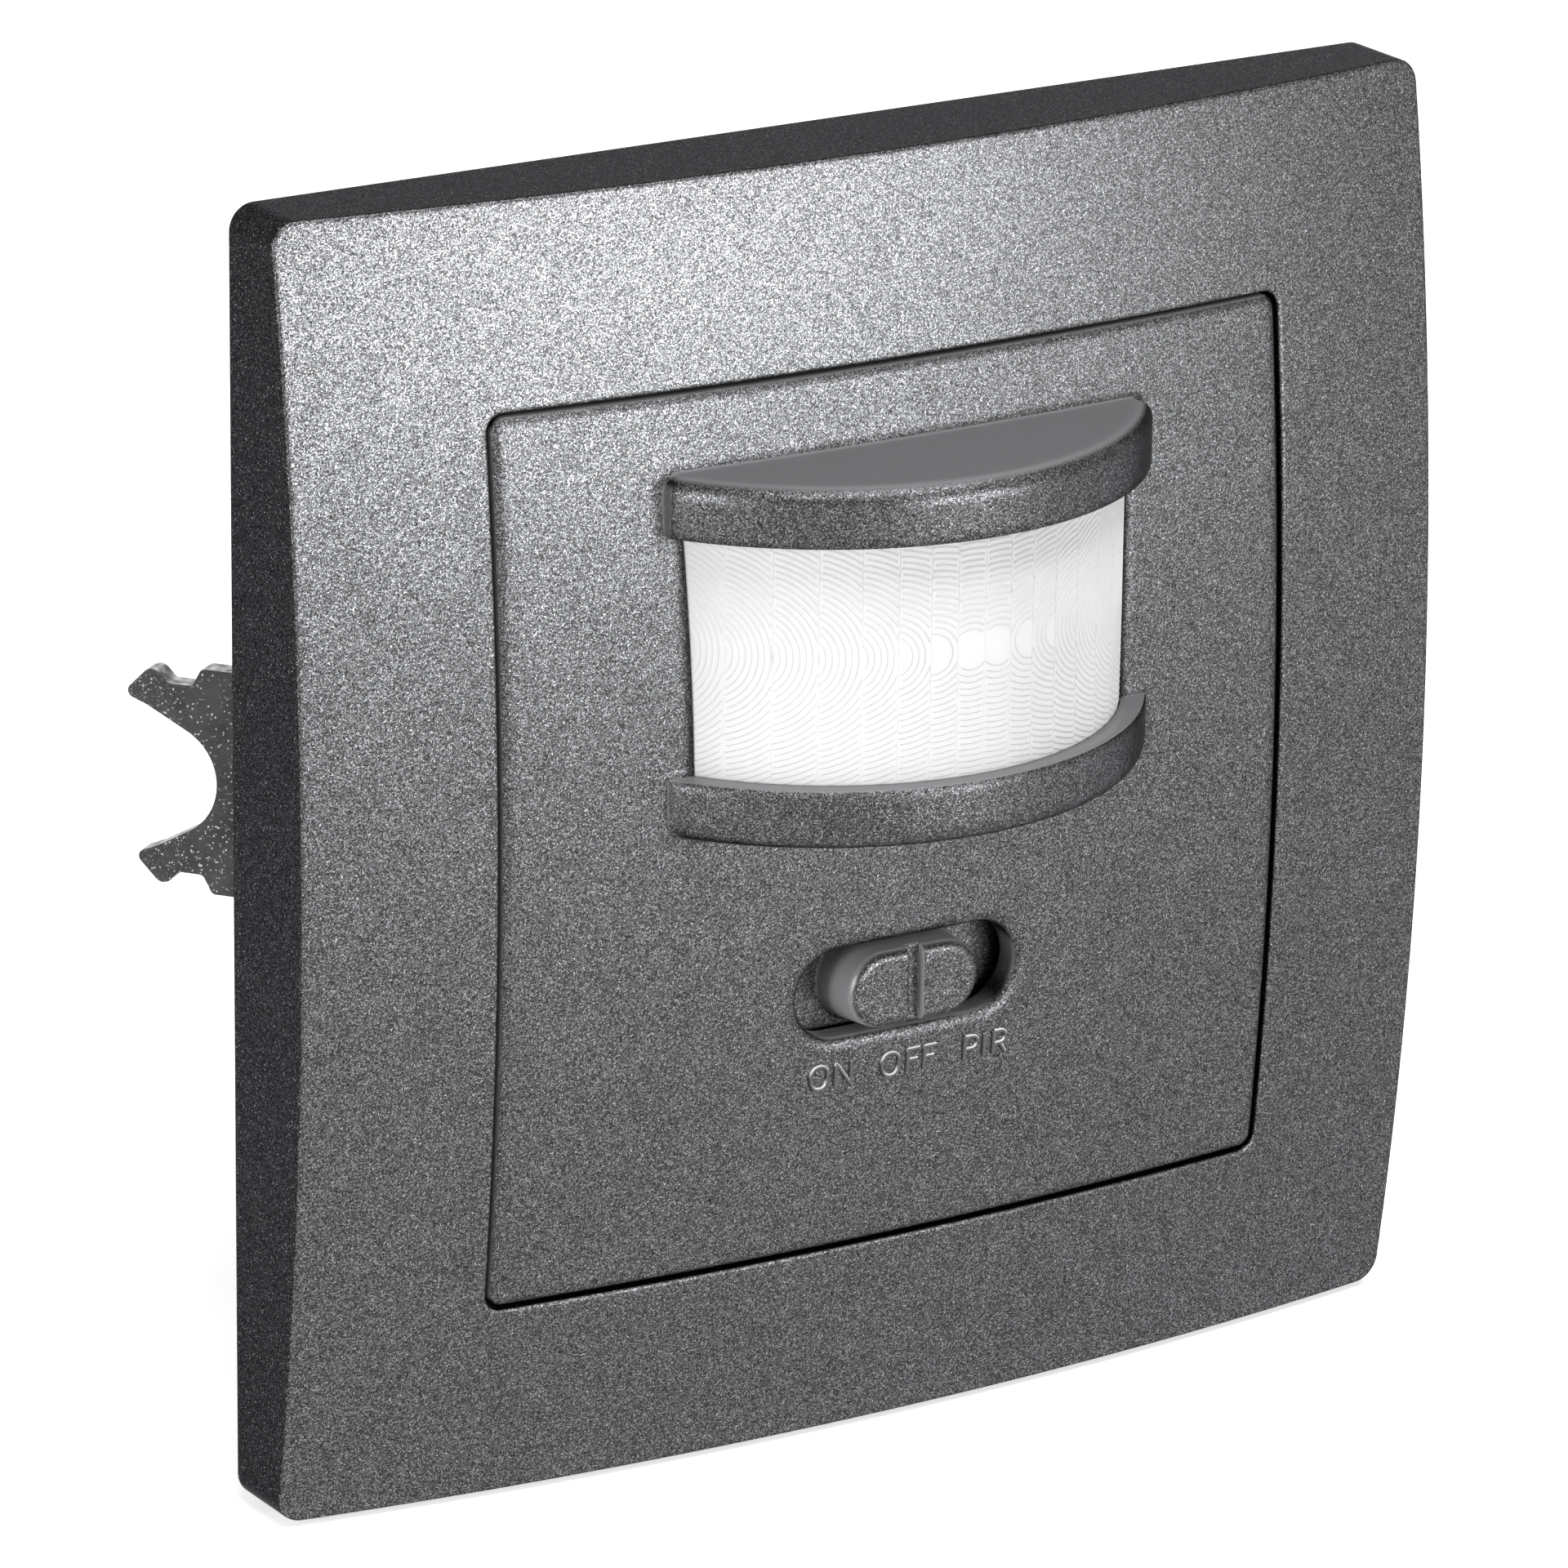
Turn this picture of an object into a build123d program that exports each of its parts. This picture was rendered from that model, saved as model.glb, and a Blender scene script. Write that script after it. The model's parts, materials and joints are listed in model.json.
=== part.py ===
"""Motion sensor light switch with a three-way slider, in a domed square frame, millimetres.

X points right, Y into the wall and Z up. The origin is the middle of the wall plane, where the
backs of the cover frame and of the support frame lie. A level is a distance in front of that
plane, so what lies inside the wall box has a negative level.
"""
import math
import os
from build123d import *

os.makedirs("parts", exist_ok=True)

# Hood: the visor over the lens and the lip under it, round an upright axis in the wall plane
hood_radius = 20.2
window_height = 14.86
window_z = 12.0
visor_thickness = 3.6
visor_rounding = 1.1
lip_thickness = 3.8
lip_rounding = 1.3
lip_edge_rounding = 0.2
hood_wall = 1.5
hood_end_cut = 3.3
hood_root_rounding = 0.3
hood_root_level = 7.0
visor_bottom = window_z + window_height / 2
visor_top = visor_bottom + visor_thickness
lip_top = window_z - window_height / 2
lip_bottom = lip_top - lip_thickness

# Centre plate, as wide and high as the hood with a margin over it
hood_margin = 4.47
plate_size = 2 * (visor_top + hood_margin)
plate_corner_radius = 0.9
plate_wall = 1.8
plate_gap = 0.25
plate_rim_rounding = 0.5
shoulder_width = 1.2
skirt_wall = 1.5
skirt_gap = 0.3
skirt_size = plate_size - 2 * shoulder_width

# Dome shared by the cover frame and the centre plate
frame_border = 12.5
frame_size = plate_size + 2 * frame_border
crown_level = 11.47
crown_drop = 3.3
dome_radius = ((frame_size / 2) ** 2 + crown_drop**2) / (2 * crown_drop)
dome_centre = (0, dome_radius - crown_level, 0)

# Cover frame
frame_corner_radius = 1.6
frame_rim_rounding = 0.2
opening_rim_rounding = 0.15
frame_wall = 2.2
frame_rib = 1.2
frame_rib_share = 0.45
opening_wall = 2.2
ledge_level = 6.0
ledge_thickness = 1.6

# Lens
lens_setback = 2.1
lens_side_cut = 1.5
lens_axis_level = 0.8
lens_thickness = 0.8
lens_flange = 2.2
lens_flange_sink = 0.2
lens_gap = 0.1
lens_radius = hood_radius - lens_setback
lens_half_width = lens_radius - lens_side_cut
lens_top = visor_top - hood_wall - lens_gap
lens_bottom = lip_bottom + hood_wall + lens_gap
lens_flange_level = lens_axis_level + math.sqrt(lens_radius**2 - lens_half_width**2) - lens_flange_sink

# Support frame, the steel plate on the wall
support_gap = 2.3
support_size = frame_size - 2 * frame_wall - 2 * support_gap
support_thickness = 1.0
support_corner_radius = 6.0
cutout_gap = 0.5
box_screw_margin = 2.5
box_screw_spacing = plate_size + 2 * box_screw_margin
box_screw_hole_radius = 1.9
panel_hole_margin = 6.5
panel_hole_spacing = support_size - 2 * panel_hole_margin
panel_hole_radius = 1.7
seat_gap = 0.3

# Slider slot, knob and carriage
slot_length = 15.6
slot_height = 5.75
slot_z_share = 0.19727
slot_z = -slot_z_share * plate_size
slot_rounding = 0.45
knob_length = 9.06
knob_height = 4.7
knob_level = 12.1
knob_draft = 6.0
knob_rounding = 0.6
groove_width = 1.1
groove_depth = 0.65
slider_travel = 2.5
carriage_level = 8.55
carriage_thickness = 1.0
carriage_overlap = 0.9
rail_width = 1.0
rail_gap = 0.2
stem_length = 5.0
stem_height = 4.4
stem_level = 3.2
carriage_length = slot_length + 2 * slider_travel + 2 * carriage_overlap
carriage_height = slot_height + 2 * carriage_overlap

# Sensor board and what it carries
board_gap = 0.2
board_top_drop = 2.43
board_width = 2 * (lens_half_width + lens_flange - board_gap)
board_height = 2 * (visor_top - board_top_drop)
board_corner_cut = 7.9
board_level = -3.4
board_thickness = 1.2
board_back = board_level - board_thickness
pir_radius = 4.15
pir_flange_radius = 4.6
pir_flange_thickness = 0.8
pir_height = 4.2
pir_window_width = 4.0
pir_window_height = 3.0
pir_window_thickness = 0.4
light_sensor_radius = 2.2
light_sensor_height = 2.0
light_sensor_side = 4.6
light_sensor_drop = 4.8
chip_height = 3.9
chip_thickness = 1.5
chip_leg_count = 6
chip_leg_width = 0.45
chip_leg_reach = 1.0
chip_margin = 1.5

# Slide switch on the sensor board
switch_length = 13.0
switch_height = 6.6
switch_depth = 5.0
switch_wall = 0.5
switch_base_thickness = 1.0
lever_size = 2.0
lever_length = 4.4
lever_foot_length = 5.0
lever_foot_height = 4.0
lever_foot_thickness = 1.7
lever_gap = 0.1
lever_slot_gap = 0.2
chip_room = board_width / 2 - switch_length / 2
chip_width = chip_room - 2 * chip_margin
chip_x = board_width / 2 - chip_room / 2

# Trimmers on the back of the sensor board
trimmer_size = 4.8
trimmer_depth = 1.9
trimmer_side = 6.6
trimmer_x = board_width / 2 - trimmer_side
trimmer_z = 8.0
rotor_radius = 1.7
rotor_thickness = 1.8
rotor_recess = 1.2
rotor_gap = 0.05
rotor_slot_width = 0.6
rotor_slot_share = 0.75
rotor_slot_depth = 0.6
driver_hole_radius = 2.0

# Plug connection between the sensor board and the power board
pin_count = 5
pin_pitch = 2.54
pin_size = 0.64
pin_gap = 0.03
pin_length = 6.2
header_height = 2.5
header_depth = 2.5
connector_z = -4.0
socket_height = 2.9
socket_window_gap = 0.3
socket_bore = 1.0
header_width = pin_count * pin_pitch

# Lens holder, the dark chamber between the lens and the sensor
holder_wall = 1.2
holder_taper = 3.6
holder_back_half_width = lens_half_width - holder_taper
holder_knee_level = 3.0
holder_flange_depth = 2.2
holder_flange_level = lens_flange_level - holder_flange_depth
holder_neck_level = 1.6
holder_neck_reach = 6.2
holder_neck_top = window_z + holder_neck_reach
light_sensor_x = holder_back_half_width - light_sensor_side
light_sensor_z = window_z - light_sensor_drop

# Cover behind the sensor board
tray_wall = 1.2
tray_width = board_width + 2 * (board_gap + tray_wall)
tray_height = board_height + 2 * (board_gap + tray_wall)
tray_corner_cut = 8.6
tray_back_level = -8.6
tray_rim_side = 3.0
tray_rim_end = 1.0
tray_rim_width = tray_width + 2 * tray_rim_side
tray_rim_height = tray_height + 2 * tray_rim_end
tray_rim_corner_cut = 13.4
tray_rim_level = 1.2
tray_rim_thickness = 1.1
board_screw_side = 8.2
board_screw_end = 2.8
board_screw_x = board_width / 2 - board_screw_side
board_screw_z = board_screw_end - board_height / 2
board_screw_radius = 1.0
board_screw_head_radius = 1.9
board_screw_head_height = 1.0
board_screw_grip = 5.5
boss_radius = 2.2
post_radius = 3.0
fit_gap = 0.05
tray_post_z = -board_screw_z

# Housing in the wall box
housing_side = 1.5
housing_end = 2.5
housing_width = tray_width + 2 * housing_side
housing_height = tray_height + 2 * housing_end
housing_corner_radius = 8.0
housing_wall = 1.2
housing_boss_radius = 2.4
housing_screw_side = 4.5
housing_screw_end = 4.0
housing_screw_x = housing_width / 2 - housing_screw_side
housing_screw_z = housing_height / 2 - housing_screw_end
housing_screw_radius = 1.2
housing_screw_length = 8.0
housing_screw_head_radius = 2.1
housing_screw_head_height = 1.2
housing_rib = 1.2
housing_rib_z = 9.0
cover_rib_reach = 1.4
board_rib_reach = 3.0

# Safety cover and power board inside the housing
power_cover_level = -9.2
power_cover_thickness = 1.2
power_cover_gap = 0.2
power_cover_corner_cut = 9.6
power_board_level = -11.2
power_board_thickness = 1.6
power_board_side = 1.7
power_board_end = 1.8
power_board_width = housing_width - 2 * (housing_wall + power_board_side)
power_board_height = housing_height - 2 * (housing_wall + power_board_end)
power_board_corner_cut = 7.4
power_board_back = power_board_level - power_board_thickness

# Components on the power board, as shares of the housing's width and height
relay_shares = (0.428, 0.208)
relay_place_shares = (-0.1, 0.347)
relay_depth = 15.3
capacitor_shares = (0.302, 0.1225)
capacitor_place_shares = (-0.237, 0.106)
capacitor_depth = 12.0
rectifier_shares = (0.193, 0.1286)
rectifier_place_shares = (-0.256, -0.071)
rectifier_depth = 3.2
electrolytic_radius_share = 0.093
electrolytic_height = 12.5
electrolytic_place_shares = (0.242, 0.31)
electrolytic_groove = 0.4
fuse_radius_share = 0.0977
fuse_height = 7.7
fuse_place_shares = (0.293, 0.094)
varistor_radius_share = 0.1
varistor_thickness = 3.6
varistor_place_shares = (0.051, 0.102)
component_rounding = 0.5
component_gap = 0.7

# Terminal block with its clamps and screws
terminal_count = 3
terminal_block_height = 9.5
terminal_block_gap = 0.15
terminal_block_floor = 0.4
terminal_block_width = 2 * (housing_screw_x - housing_boss_radius - board_gap)
terminal_block_z = housing_wall + terminal_block_floor + terminal_block_height / 2 - housing_height / 2
chamber_width = 6.2
chamber_height = 7.4
chamber_depth = 13.0
component_depth = max(relay_depth, capacitor_depth, electrolytic_height, chamber_depth)
housing_depth = component_depth + component_gap + housing_wall - power_board_back
chamber_wall = 1.3
terminal_pitch = (terminal_block_width - chamber_width) / 2 - chamber_wall
wire_entry_radius = 1.6
wire_entry_rise = 0.85
wire_entry_z = terminal_block_z + wire_entry_rise
clamp_width = 5.8
clamp_height = 7.0
clamp_depth = 6.0
clamp_opening_width = 3.8
clamp_opening_height = 3.6
clamp_tail_width = 3.0
clamp_tail_thickness = 0.8
clamp_end_gap = 0.3
terminal_screw_radius = 1.5
terminal_screw_head_radius = 1.85
terminal_screw_head_height = 1.8
terminal_screw_sink = 0.6
driver_gap = 0.15
driver_slot_width = 0.8
driver_slot_depth = 0.7

# Claws: plates that swing about upright pins behind the support frame
claw_pivot_side = 2.1
claw_pivot_x = housing_width / 2 + claw_pivot_side
claw_pivot_depth = 2.4
claw_spread = 38.0
claw_bend = 65.0
claw_thickness = 1.4
claw_length = 20.95
claw_width = 14.2
claw_stagger = 0.3
claw_valley_radius = 3.6
claw_step_rounding = 0.4
claw_hook_rounding = 0.7
claw_tip_rounding = 0.45
claw_window_start = 1.6
claw_window_end = 9.6
claw_window_height = 10.0
claw_shoulder = 2.6
knuckle_radius = 1.6
knuckle_length = 12.8
pin_radius = 0.8
pin_head_radius = 1.3
pin_head_height = 0.5
fork_length = 6.2
fork_height = 9.2
fork_slot_height = 4.0
fork_slot_start = 1.6
lug_thickness = 1.0
lug_gap = 0.3
lug_radius = 1.85

# Prong outline, from the arm's side to the underside of the tip: shares of the claw's length and
# of half its width, with the place where the two undersides would meet
prong_shares = ((0.754, 1.0), (0.783, 0.838), (0.859, 0.838), (0.907, 0.993), (1.0, 0.711), (0.926, 0.627))
valley_share = 0.5375

# Claw screws and the half-round nuts that they draw forwards
claw_screw_side = 3.8
claw_screw_x = claw_pivot_x + claw_screw_side
claw_screw_radius = 1.75
claw_screw_end = 8.8
claw_screw_head_radius = 3.1
claw_screw_head_height = 1.6
claw_screw_hole_gap = 0.1
nut_radius = 2.5
nut_back = 0.9
nut_height = 9.0
nut_gap = 0.3
screw_notch_gap = 0.4

# Snap legs that hold the centre plate on the support frame
leg_x = 10.0
leg_width = 4.5
leg_wall = 1.3
leg_gap = 0.3
leg_tip_level = -2.4
leg_barb = 0.8
leg_barb_gap = 0.15

cut_overrun = 2.0


def level(front):
    """Plane parallel to the wall at a distance in front of it, facing the room."""
    return Plane.XZ.offset(front)


def export(part, name):
    part.label = name
    export_step(part, f"parts/{name}.step")


def upright_plane(pivot, angle):
    """Upright plane through a pivot: its x runs outward at an angle seen from above, its y is up."""
    direction = (math.cos(math.radians(angle)), math.sin(math.radians(angle)), 0)
    return Plane(origin=pivot, x_dir=direction, z_dir=(direction[1], -direction[0], 0))


# Cover frame
# The ring-shaped hollow between the outer wall and the opening's wall, crossed by ribs
frame_rib_spacing = frame_rib_share * frame_size
frame_inside = frame_size - 2 * frame_wall
opening_size = plate_size + 2 * plate_gap
frame_seat = support_thickness + seat_gap
with BuildPart() as frame_hollow:
    with BuildSketch(level(frame_seat)):
        Rectangle(frame_inside, frame_inside)
        Rectangle(opening_size + 2 * opening_wall, opening_size + 2 * opening_wall, mode=Mode.SUBTRACT)
        with GridLocations(frame_rib_spacing, 0, 2, 1):
            Rectangle(frame_rib, frame_inside, mode=Mode.SUBTRACT)
        with GridLocations(0, frame_rib_spacing, 1, 2):
            Rectangle(frame_inside, frame_rib, mode=Mode.SUBTRACT)
    extrude(amount=crown_level)
    with Locations(dome_centre):
        Sphere(dome_radius - frame_wall, mode=Mode.INTERSECT)

with BuildPart() as cover_frame:
    with BuildSketch(level(0)):
        RectangleRounded(frame_size, frame_size, frame_corner_radius)
    extrude(amount=crown_level)
    with Locations(dome_centre):
        Sphere(dome_radius, mode=Mode.INTERSECT)
    fillet(cover_frame.faces().sort_by(Axis.Y)[0].edges(), frame_rim_rounding)
    # Opening for the plate, down to the ledge that its shoulder holds
    with BuildSketch(level(ledge_level)):
        RectangleRounded(opening_size, opening_size, plate_corner_radius + plate_gap)
    extrude(amount=crown_level, mode=Mode.SUBTRACT)
    rim = cover_frame.faces().filter_by(GeomType.SPHERE).sort_by(Axis.Y)[0].inner_wires()
    fillet(rim[0].edges(), opening_rim_rounding)
    with BuildSketch(level(0)):
        Rectangle(skirt_size + 2 * skirt_gap, skirt_size + 2 * skirt_gap)
    extrude(amount=ledge_level, mode=Mode.SUBTRACT)
    with BuildSketch(level(0)):
        Rectangle(opening_size, opening_size)
    extrude(amount=ledge_level - ledge_thickness, mode=Mode.SUBTRACT)
    # Pocket for the support frame, then the hollow with its ribs
    with BuildSketch(level(0)):
        Rectangle(frame_inside, frame_inside)
    extrude(amount=frame_seat, mode=Mode.SUBTRACT)
    add(frame_hollow.part, mode=Mode.SUBTRACT)
    # Notches over the heads of the claw screws and of the screws into the wall box
    notch_top = support_thickness + claw_screw_head_height + screw_notch_gap
    notch_width = 2 * (claw_screw_head_radius + screw_notch_gap)
    with BuildSketch(level(0)):
        Rectangle(opening_size + 2 * opening_wall + frame_rib, notch_width)
        Rectangle(notch_width, opening_size + 2 * opening_wall + frame_rib)
    extrude(amount=notch_top, mode=Mode.SUBTRACT)
export(cover_frame.part, "cover_frame")

# Centre plate
# Visor and lip are slices of a cylinder, cut off behind the plate's front
with BuildPart() as hood:
    hood_width = 2 * (hood_radius - hood_end_cut)
    with BuildSketch(Plane.XY.offset(visor_bottom)):
        Circle(hood_radius)
        Rectangle(hood_width, 2 * hood_radius, mode=Mode.INTERSECT)
    extrude(amount=visor_thickness)
    fillet(hood.edges().group_by(Axis.Z)[-1], visor_rounding)
    with BuildSketch(Plane.XY.offset(lip_bottom)):
        Circle(hood_radius)
        Rectangle(hood_width, 2 * hood_radius, mode=Mode.INTERSECT)
    extrude(amount=lip_thickness)
    fillet(hood.edges().group_by(Axis.Z)[0], lip_rounding)
    lip_rim = hood.edges().filter_by_position(Axis.Z, lip_top, lip_top)
    fillet(lip_rim, lip_edge_rounding)
    with BuildSketch(level(hood_root_level)):
        Rectangle(2 * hood_radius, 2 * visor_top)
    extrude(amount=hood_radius, mode=Mode.INTERSECT)

# Room inside the hood for the lens, open towards the plate's hollow
with BuildPart() as lens_room:
    with BuildSketch(Plane.XY.offset(lens_bottom - lens_gap)):
        with Locations((0, -lens_axis_level)):
            Circle(lens_radius + lens_gap)
    extrude(amount=lens_top - lens_bottom + 2 * lens_gap)
    with BuildSketch(level(lens_axis_level)):
        Rectangle(2 * hood_radius, 2 * visor_top)
    extrude(amount=hood_radius, mode=Mode.INTERSECT)

# Hollow behind the plate's front
with BuildPart() as plate_hollow:
    with BuildSketch(level(support_thickness)):
        Rectangle(skirt_size - 2 * skirt_wall, skirt_size - 2 * skirt_wall)
    extrude(amount=crown_level)
    with Locations(dome_centre):
        Sphere(dome_radius - plate_wall, mode=Mode.INTERSECT)

# What stands up inside the plate as far as its front, cut to the dome
with BuildPart() as plate_inner:
    with BuildSketch(level(board_level)):
        with Locations((-board_screw_x, board_screw_z), (board_screw_x, board_screw_z)):
            Circle(boss_radius)
    extrude(amount=crown_level - board_level)
    rail_z = (carriage_height + rail_width) / 2 + rail_gap
    with BuildSketch(level(carriage_level - carriage_thickness)):
        with Locations((0, slot_z + rail_z), (0, slot_z - rail_z)):
            Rectangle(carriage_length, rail_width)
    extrude(amount=crown_level)
    with Locations(dome_centre):
        Sphere(dome_radius - plate_wall / 2, mode=Mode.INTERSECT)

# Snap leg with its barb, seen from the side
leg_z = skirt_size / 2
with BuildPart() as snap_leg:
    with BuildSketch(Plane.YZ.offset(leg_x - leg_width / 2)):
        with BuildLine():
            Polyline(
                (-ledge_level, leg_z - leg_wall),
                (-leg_tip_level, leg_z - leg_wall),
                (-leg_tip_level, leg_z - leg_wall / 2),
                (leg_barb_gap, leg_z + leg_barb),
                (leg_barb_gap, leg_z),
                (-ledge_level, leg_z),
                close=True,
            )
        make_face()
    extrude(amount=leg_width)
    mirror(about=Plane.YZ)
    mirror(about=Plane.XY)

with BuildPart() as centre_plate:
    with BuildSketch(level(ledge_level)):
        RectangleRounded(plate_size, plate_size, plate_corner_radius)
    extrude(amount=crown_level)
    with Locations(dome_centre):
        Sphere(dome_radius, mode=Mode.INTERSECT)
    fillet(centre_plate.faces().sort_by(Axis.Y)[0].edges(), plate_rim_rounding)
    with BuildSketch(level(frame_seat)):
        Rectangle(skirt_size, skirt_size)
    extrude(amount=ledge_level - frame_seat)
    add(hood.part)
    # Hollow rounding along the visor's root
    front = centre_plate.faces().filter_by(GeomType.SPHERE).sort_by(Axis.Y)[0]
    roots = ShapeList([edge for wire in front.inner_wires() for edge in wire.edges()])
    visor_root = roots.filter_by_position(Axis.Z, visor_bottom + hood_root_rounding, visor_top)
    fillet(visor_root, hood_root_rounding)
    add(plate_hollow.part, mode=Mode.SUBTRACT)
    add(lens_room.part, mode=Mode.SUBTRACT)
    add(plate_inner.part)
    add(snap_leg.part)
    # Slot of the slider, with a rounded rim
    with BuildSketch(level(hood_root_level)):
        with Locations((0, slot_z)):
            SlotOverall(slot_length, slot_height)
    extrude(amount=crown_level, mode=Mode.SUBTRACT)
    front = centre_plate.faces().filter_by(GeomType.SPHERE).sort_by(Axis.Y)[0]
    slot_rim = front.edges().filter_by_position(
        Axis.Z, slot_z - slot_height, slot_z + slot_height
    ).filter_by_position(Axis.X, -slot_length / 2 - slot_rounding, slot_length / 2 + slot_rounding)
    fillet(slot_rim, slot_rounding)
    # Screw holes in the bosses and notches over the heads of the claw screws
    with BuildSketch(level(board_level)):
        with Locations((-board_screw_x, board_screw_z), (board_screw_x, board_screw_z)):
            Circle(board_screw_radius + fit_gap)
    extrude(amount=board_screw_grip + cut_overrun, mode=Mode.SUBTRACT)
    with BuildSketch(level(0)):
        with GridLocations(skirt_size, 0, 2, 1):
            Rectangle(2 * (skirt_wall + cut_overrun), notch_width)
    extrude(amount=notch_top, mode=Mode.SUBTRACT)
export(centre_plate.part, "centre_plate")

# Fresnel lens: an arc with two flat flanges that the holder presses on the plate
flange_root = lens_half_width - lens_thickness
with BuildPart() as fresnel_lens:
    with BuildSketch(Plane.XY.offset(lens_bottom)):
        with Locations((0, -lens_axis_level)):
            Circle(lens_radius)
            Circle(lens_radius - lens_thickness, mode=Mode.SUBTRACT)
        with Locations((0, lens_thickness - lens_flange_level)):
            Rectangle(2 * lens_half_width, lens_radius, align=(Align.CENTER, Align.MAX), mode=Mode.INTERSECT)
        for side in (-1, 1):
            with Locations((side * (lens_half_width + lens_flange / 2 - lens_thickness / 2), -lens_flange_level)):
                Rectangle(lens_flange + lens_thickness, lens_thickness, align=(Align.CENTER, Align.MIN))
    extrude(amount=lens_top - lens_bottom)
export(fresnel_lens.part, "fresnel_lens")

# Lens holder: a chamber that widens from the board to the lens
holder_radius = lens_radius - lens_thickness - lens_gap
holder_half_width = lens_half_width + lens_flange
flange_back = lens_flange_level - lens_thickness
holder_top = lens_top - lens_gap
holder_bottom = lens_bottom + lens_gap


def chamber_plan(inset):
    """Half-width and level of the holder's corners, drawn in by an inset."""
    return (
        (holder_back_half_width - inset, board_level),
        (holder_back_half_width - inset, holder_knee_level),
        (holder_half_width - holder_wall - inset, holder_flange_level),
    )


with BuildPart() as lens_holder:
    arc_x = flange_root - lens_thickness
    arc_level = lens_axis_level + math.sqrt(holder_radius**2 - arc_x**2)
    with BuildSketch(Plane.XY.offset(holder_bottom)):
        with BuildLine():
            right = [(x, -y) for x, y in chamber_plan(0)]
            right += [(holder_half_width, -holder_flange_level), (holder_half_width, -flange_back)]
            right += [(arc_x, -flange_back), (arc_x, -arc_level)]
            left = [(-x, y) for x, y in reversed(right)]
            Polyline(*left, *right)
            Polyline(right[0], left[-1])
            ThreePointArc(right[-1], (0, -lens_axis_level - holder_radius), left[0])
        make_face()
    extrude(amount=holder_top - holder_bottom)
    # Neck that stands lower inside the cover behind the board
    with BuildSketch(Plane.XY.offset(holder_neck_top)):
        with Locations((0, -holder_neck_level)):
            Rectangle(2 * holder_half_width, holder_half_width, align=(Align.CENTER, Align.MIN))
    extrude(amount=holder_top - holder_neck_top, mode=Mode.SUBTRACT)
    for chamber_top, chamber_back in (
        (holder_neck_top - holder_wall, board_level - cut_overrun),
        (holder_top - holder_wall, holder_neck_level + holder_wall),
    ):
        with BuildSketch(Plane.XY.offset(holder_bottom + holder_wall)):
            with BuildLine():
                right = [(x, -y) for x, y in chamber_plan(holder_wall)]
                right += [(arc_x - holder_wall, -flange_back), (arc_x - holder_wall, -hood_radius)]
                left = [(-x, y) for x, y in reversed(right)]
                Polyline(*left, *right, close=True)
            make_face()
            with Locations((0, -chamber_back)):
                Rectangle(
                    2 * holder_half_width,
                    2 * hood_radius,
                    align=(Align.CENTER, Align.MAX),
                    mode=Mode.INTERSECT,
                )
        extrude(amount=chamber_top - holder_bottom - holder_wall, mode=Mode.SUBTRACT)
export(lens_holder.part, "lens_holder")

# Slider knob with its carriage and its fork round the switch lever
with BuildPart() as slider_knob:
    knob_height_above = knob_level - carriage_level
    knob_flare = 2 * knob_height_above * math.tan(math.radians(knob_draft))
    with BuildSketch(level(carriage_level)):
        with Locations((0, slot_z)):
            SlotOverall(knob_length + knob_flare, knob_height + knob_flare)
    extrude(amount=knob_height_above, taper=knob_draft)
    fillet(slider_knob.faces().sort_by(Axis.Y)[0].edges(), knob_rounding)
    with BuildSketch(level(knob_level)):
        with Locations((0, slot_z)):
            Rectangle(groove_width, knob_height + knob_flare)
    extrude(amount=-groove_depth, mode=Mode.SUBTRACT)
    with BuildSketch(level(carriage_level)):
        with Locations((0, slot_z)):
            Rectangle(carriage_length, carriage_height)
    extrude(amount=-carriage_thickness)
    with BuildSketch(level(stem_level)):
        with Locations((0, slot_z)):
            Rectangle(stem_length, stem_height)
    extrude(amount=carriage_level - carriage_thickness - stem_level)
    with BuildSketch(level(stem_level)):
        with Locations((0, slot_z)):
            Rectangle(lever_size + 2 * lever_gap, lever_size + 2 * lever_gap)
    extrude(amount=lever_length / 2 + lever_gap, mode=Mode.SUBTRACT)
export(slider_knob.part, "slider_knob")

# Slide switch: steel shell, base and lever
switch_front = board_level + switch_depth
with BuildPart() as slide_switch_shell:
    with BuildSketch(level(board_level)):
        with Locations((0, slot_z)):
            Rectangle(switch_length, switch_height)
    extrude(amount=switch_depth)
    fillet(slide_switch_shell.edges().filter_by(Axis.Y), switch_wall)
    with BuildSketch(level(board_level)):
        with Locations((0, slot_z)):
            Rectangle(switch_length - 2 * switch_wall, switch_height - 2 * switch_wall)
    extrude(amount=switch_depth - switch_wall, mode=Mode.SUBTRACT)
    with BuildSketch(level(board_level)):
        with Locations((0, slot_z)):
            Rectangle(lever_size + 2 * (slider_travel + lever_slot_gap), lever_size + 2 * lever_slot_gap)
    extrude(amount=switch_depth, mode=Mode.SUBTRACT)
export(slide_switch_shell.part, "slide_switch_shell")

with BuildPart() as slide_switch_base:
    with BuildSketch(level(board_level)):
        with Locations((0, slot_z)):
            Rectangle(switch_length - 2 * switch_wall, switch_height - 2 * switch_wall)
    extrude(amount=switch_base_thickness)
export(slide_switch_base.part, "slide_switch_base")

with BuildPart() as slide_switch_lever:
    foot_front = switch_front - switch_wall - lever_gap
    with BuildSketch(level(foot_front)):
        with Locations((0, slot_z)):
            Rectangle(lever_foot_length, lever_foot_height)
    extrude(amount=-lever_foot_thickness)
    with BuildSketch(level(foot_front)):
        with Locations((0, slot_z)):
            Rectangle(lever_size, lever_size)
    extrude(amount=lever_length)
export(slide_switch_lever.part, "slide_switch_lever")

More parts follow.
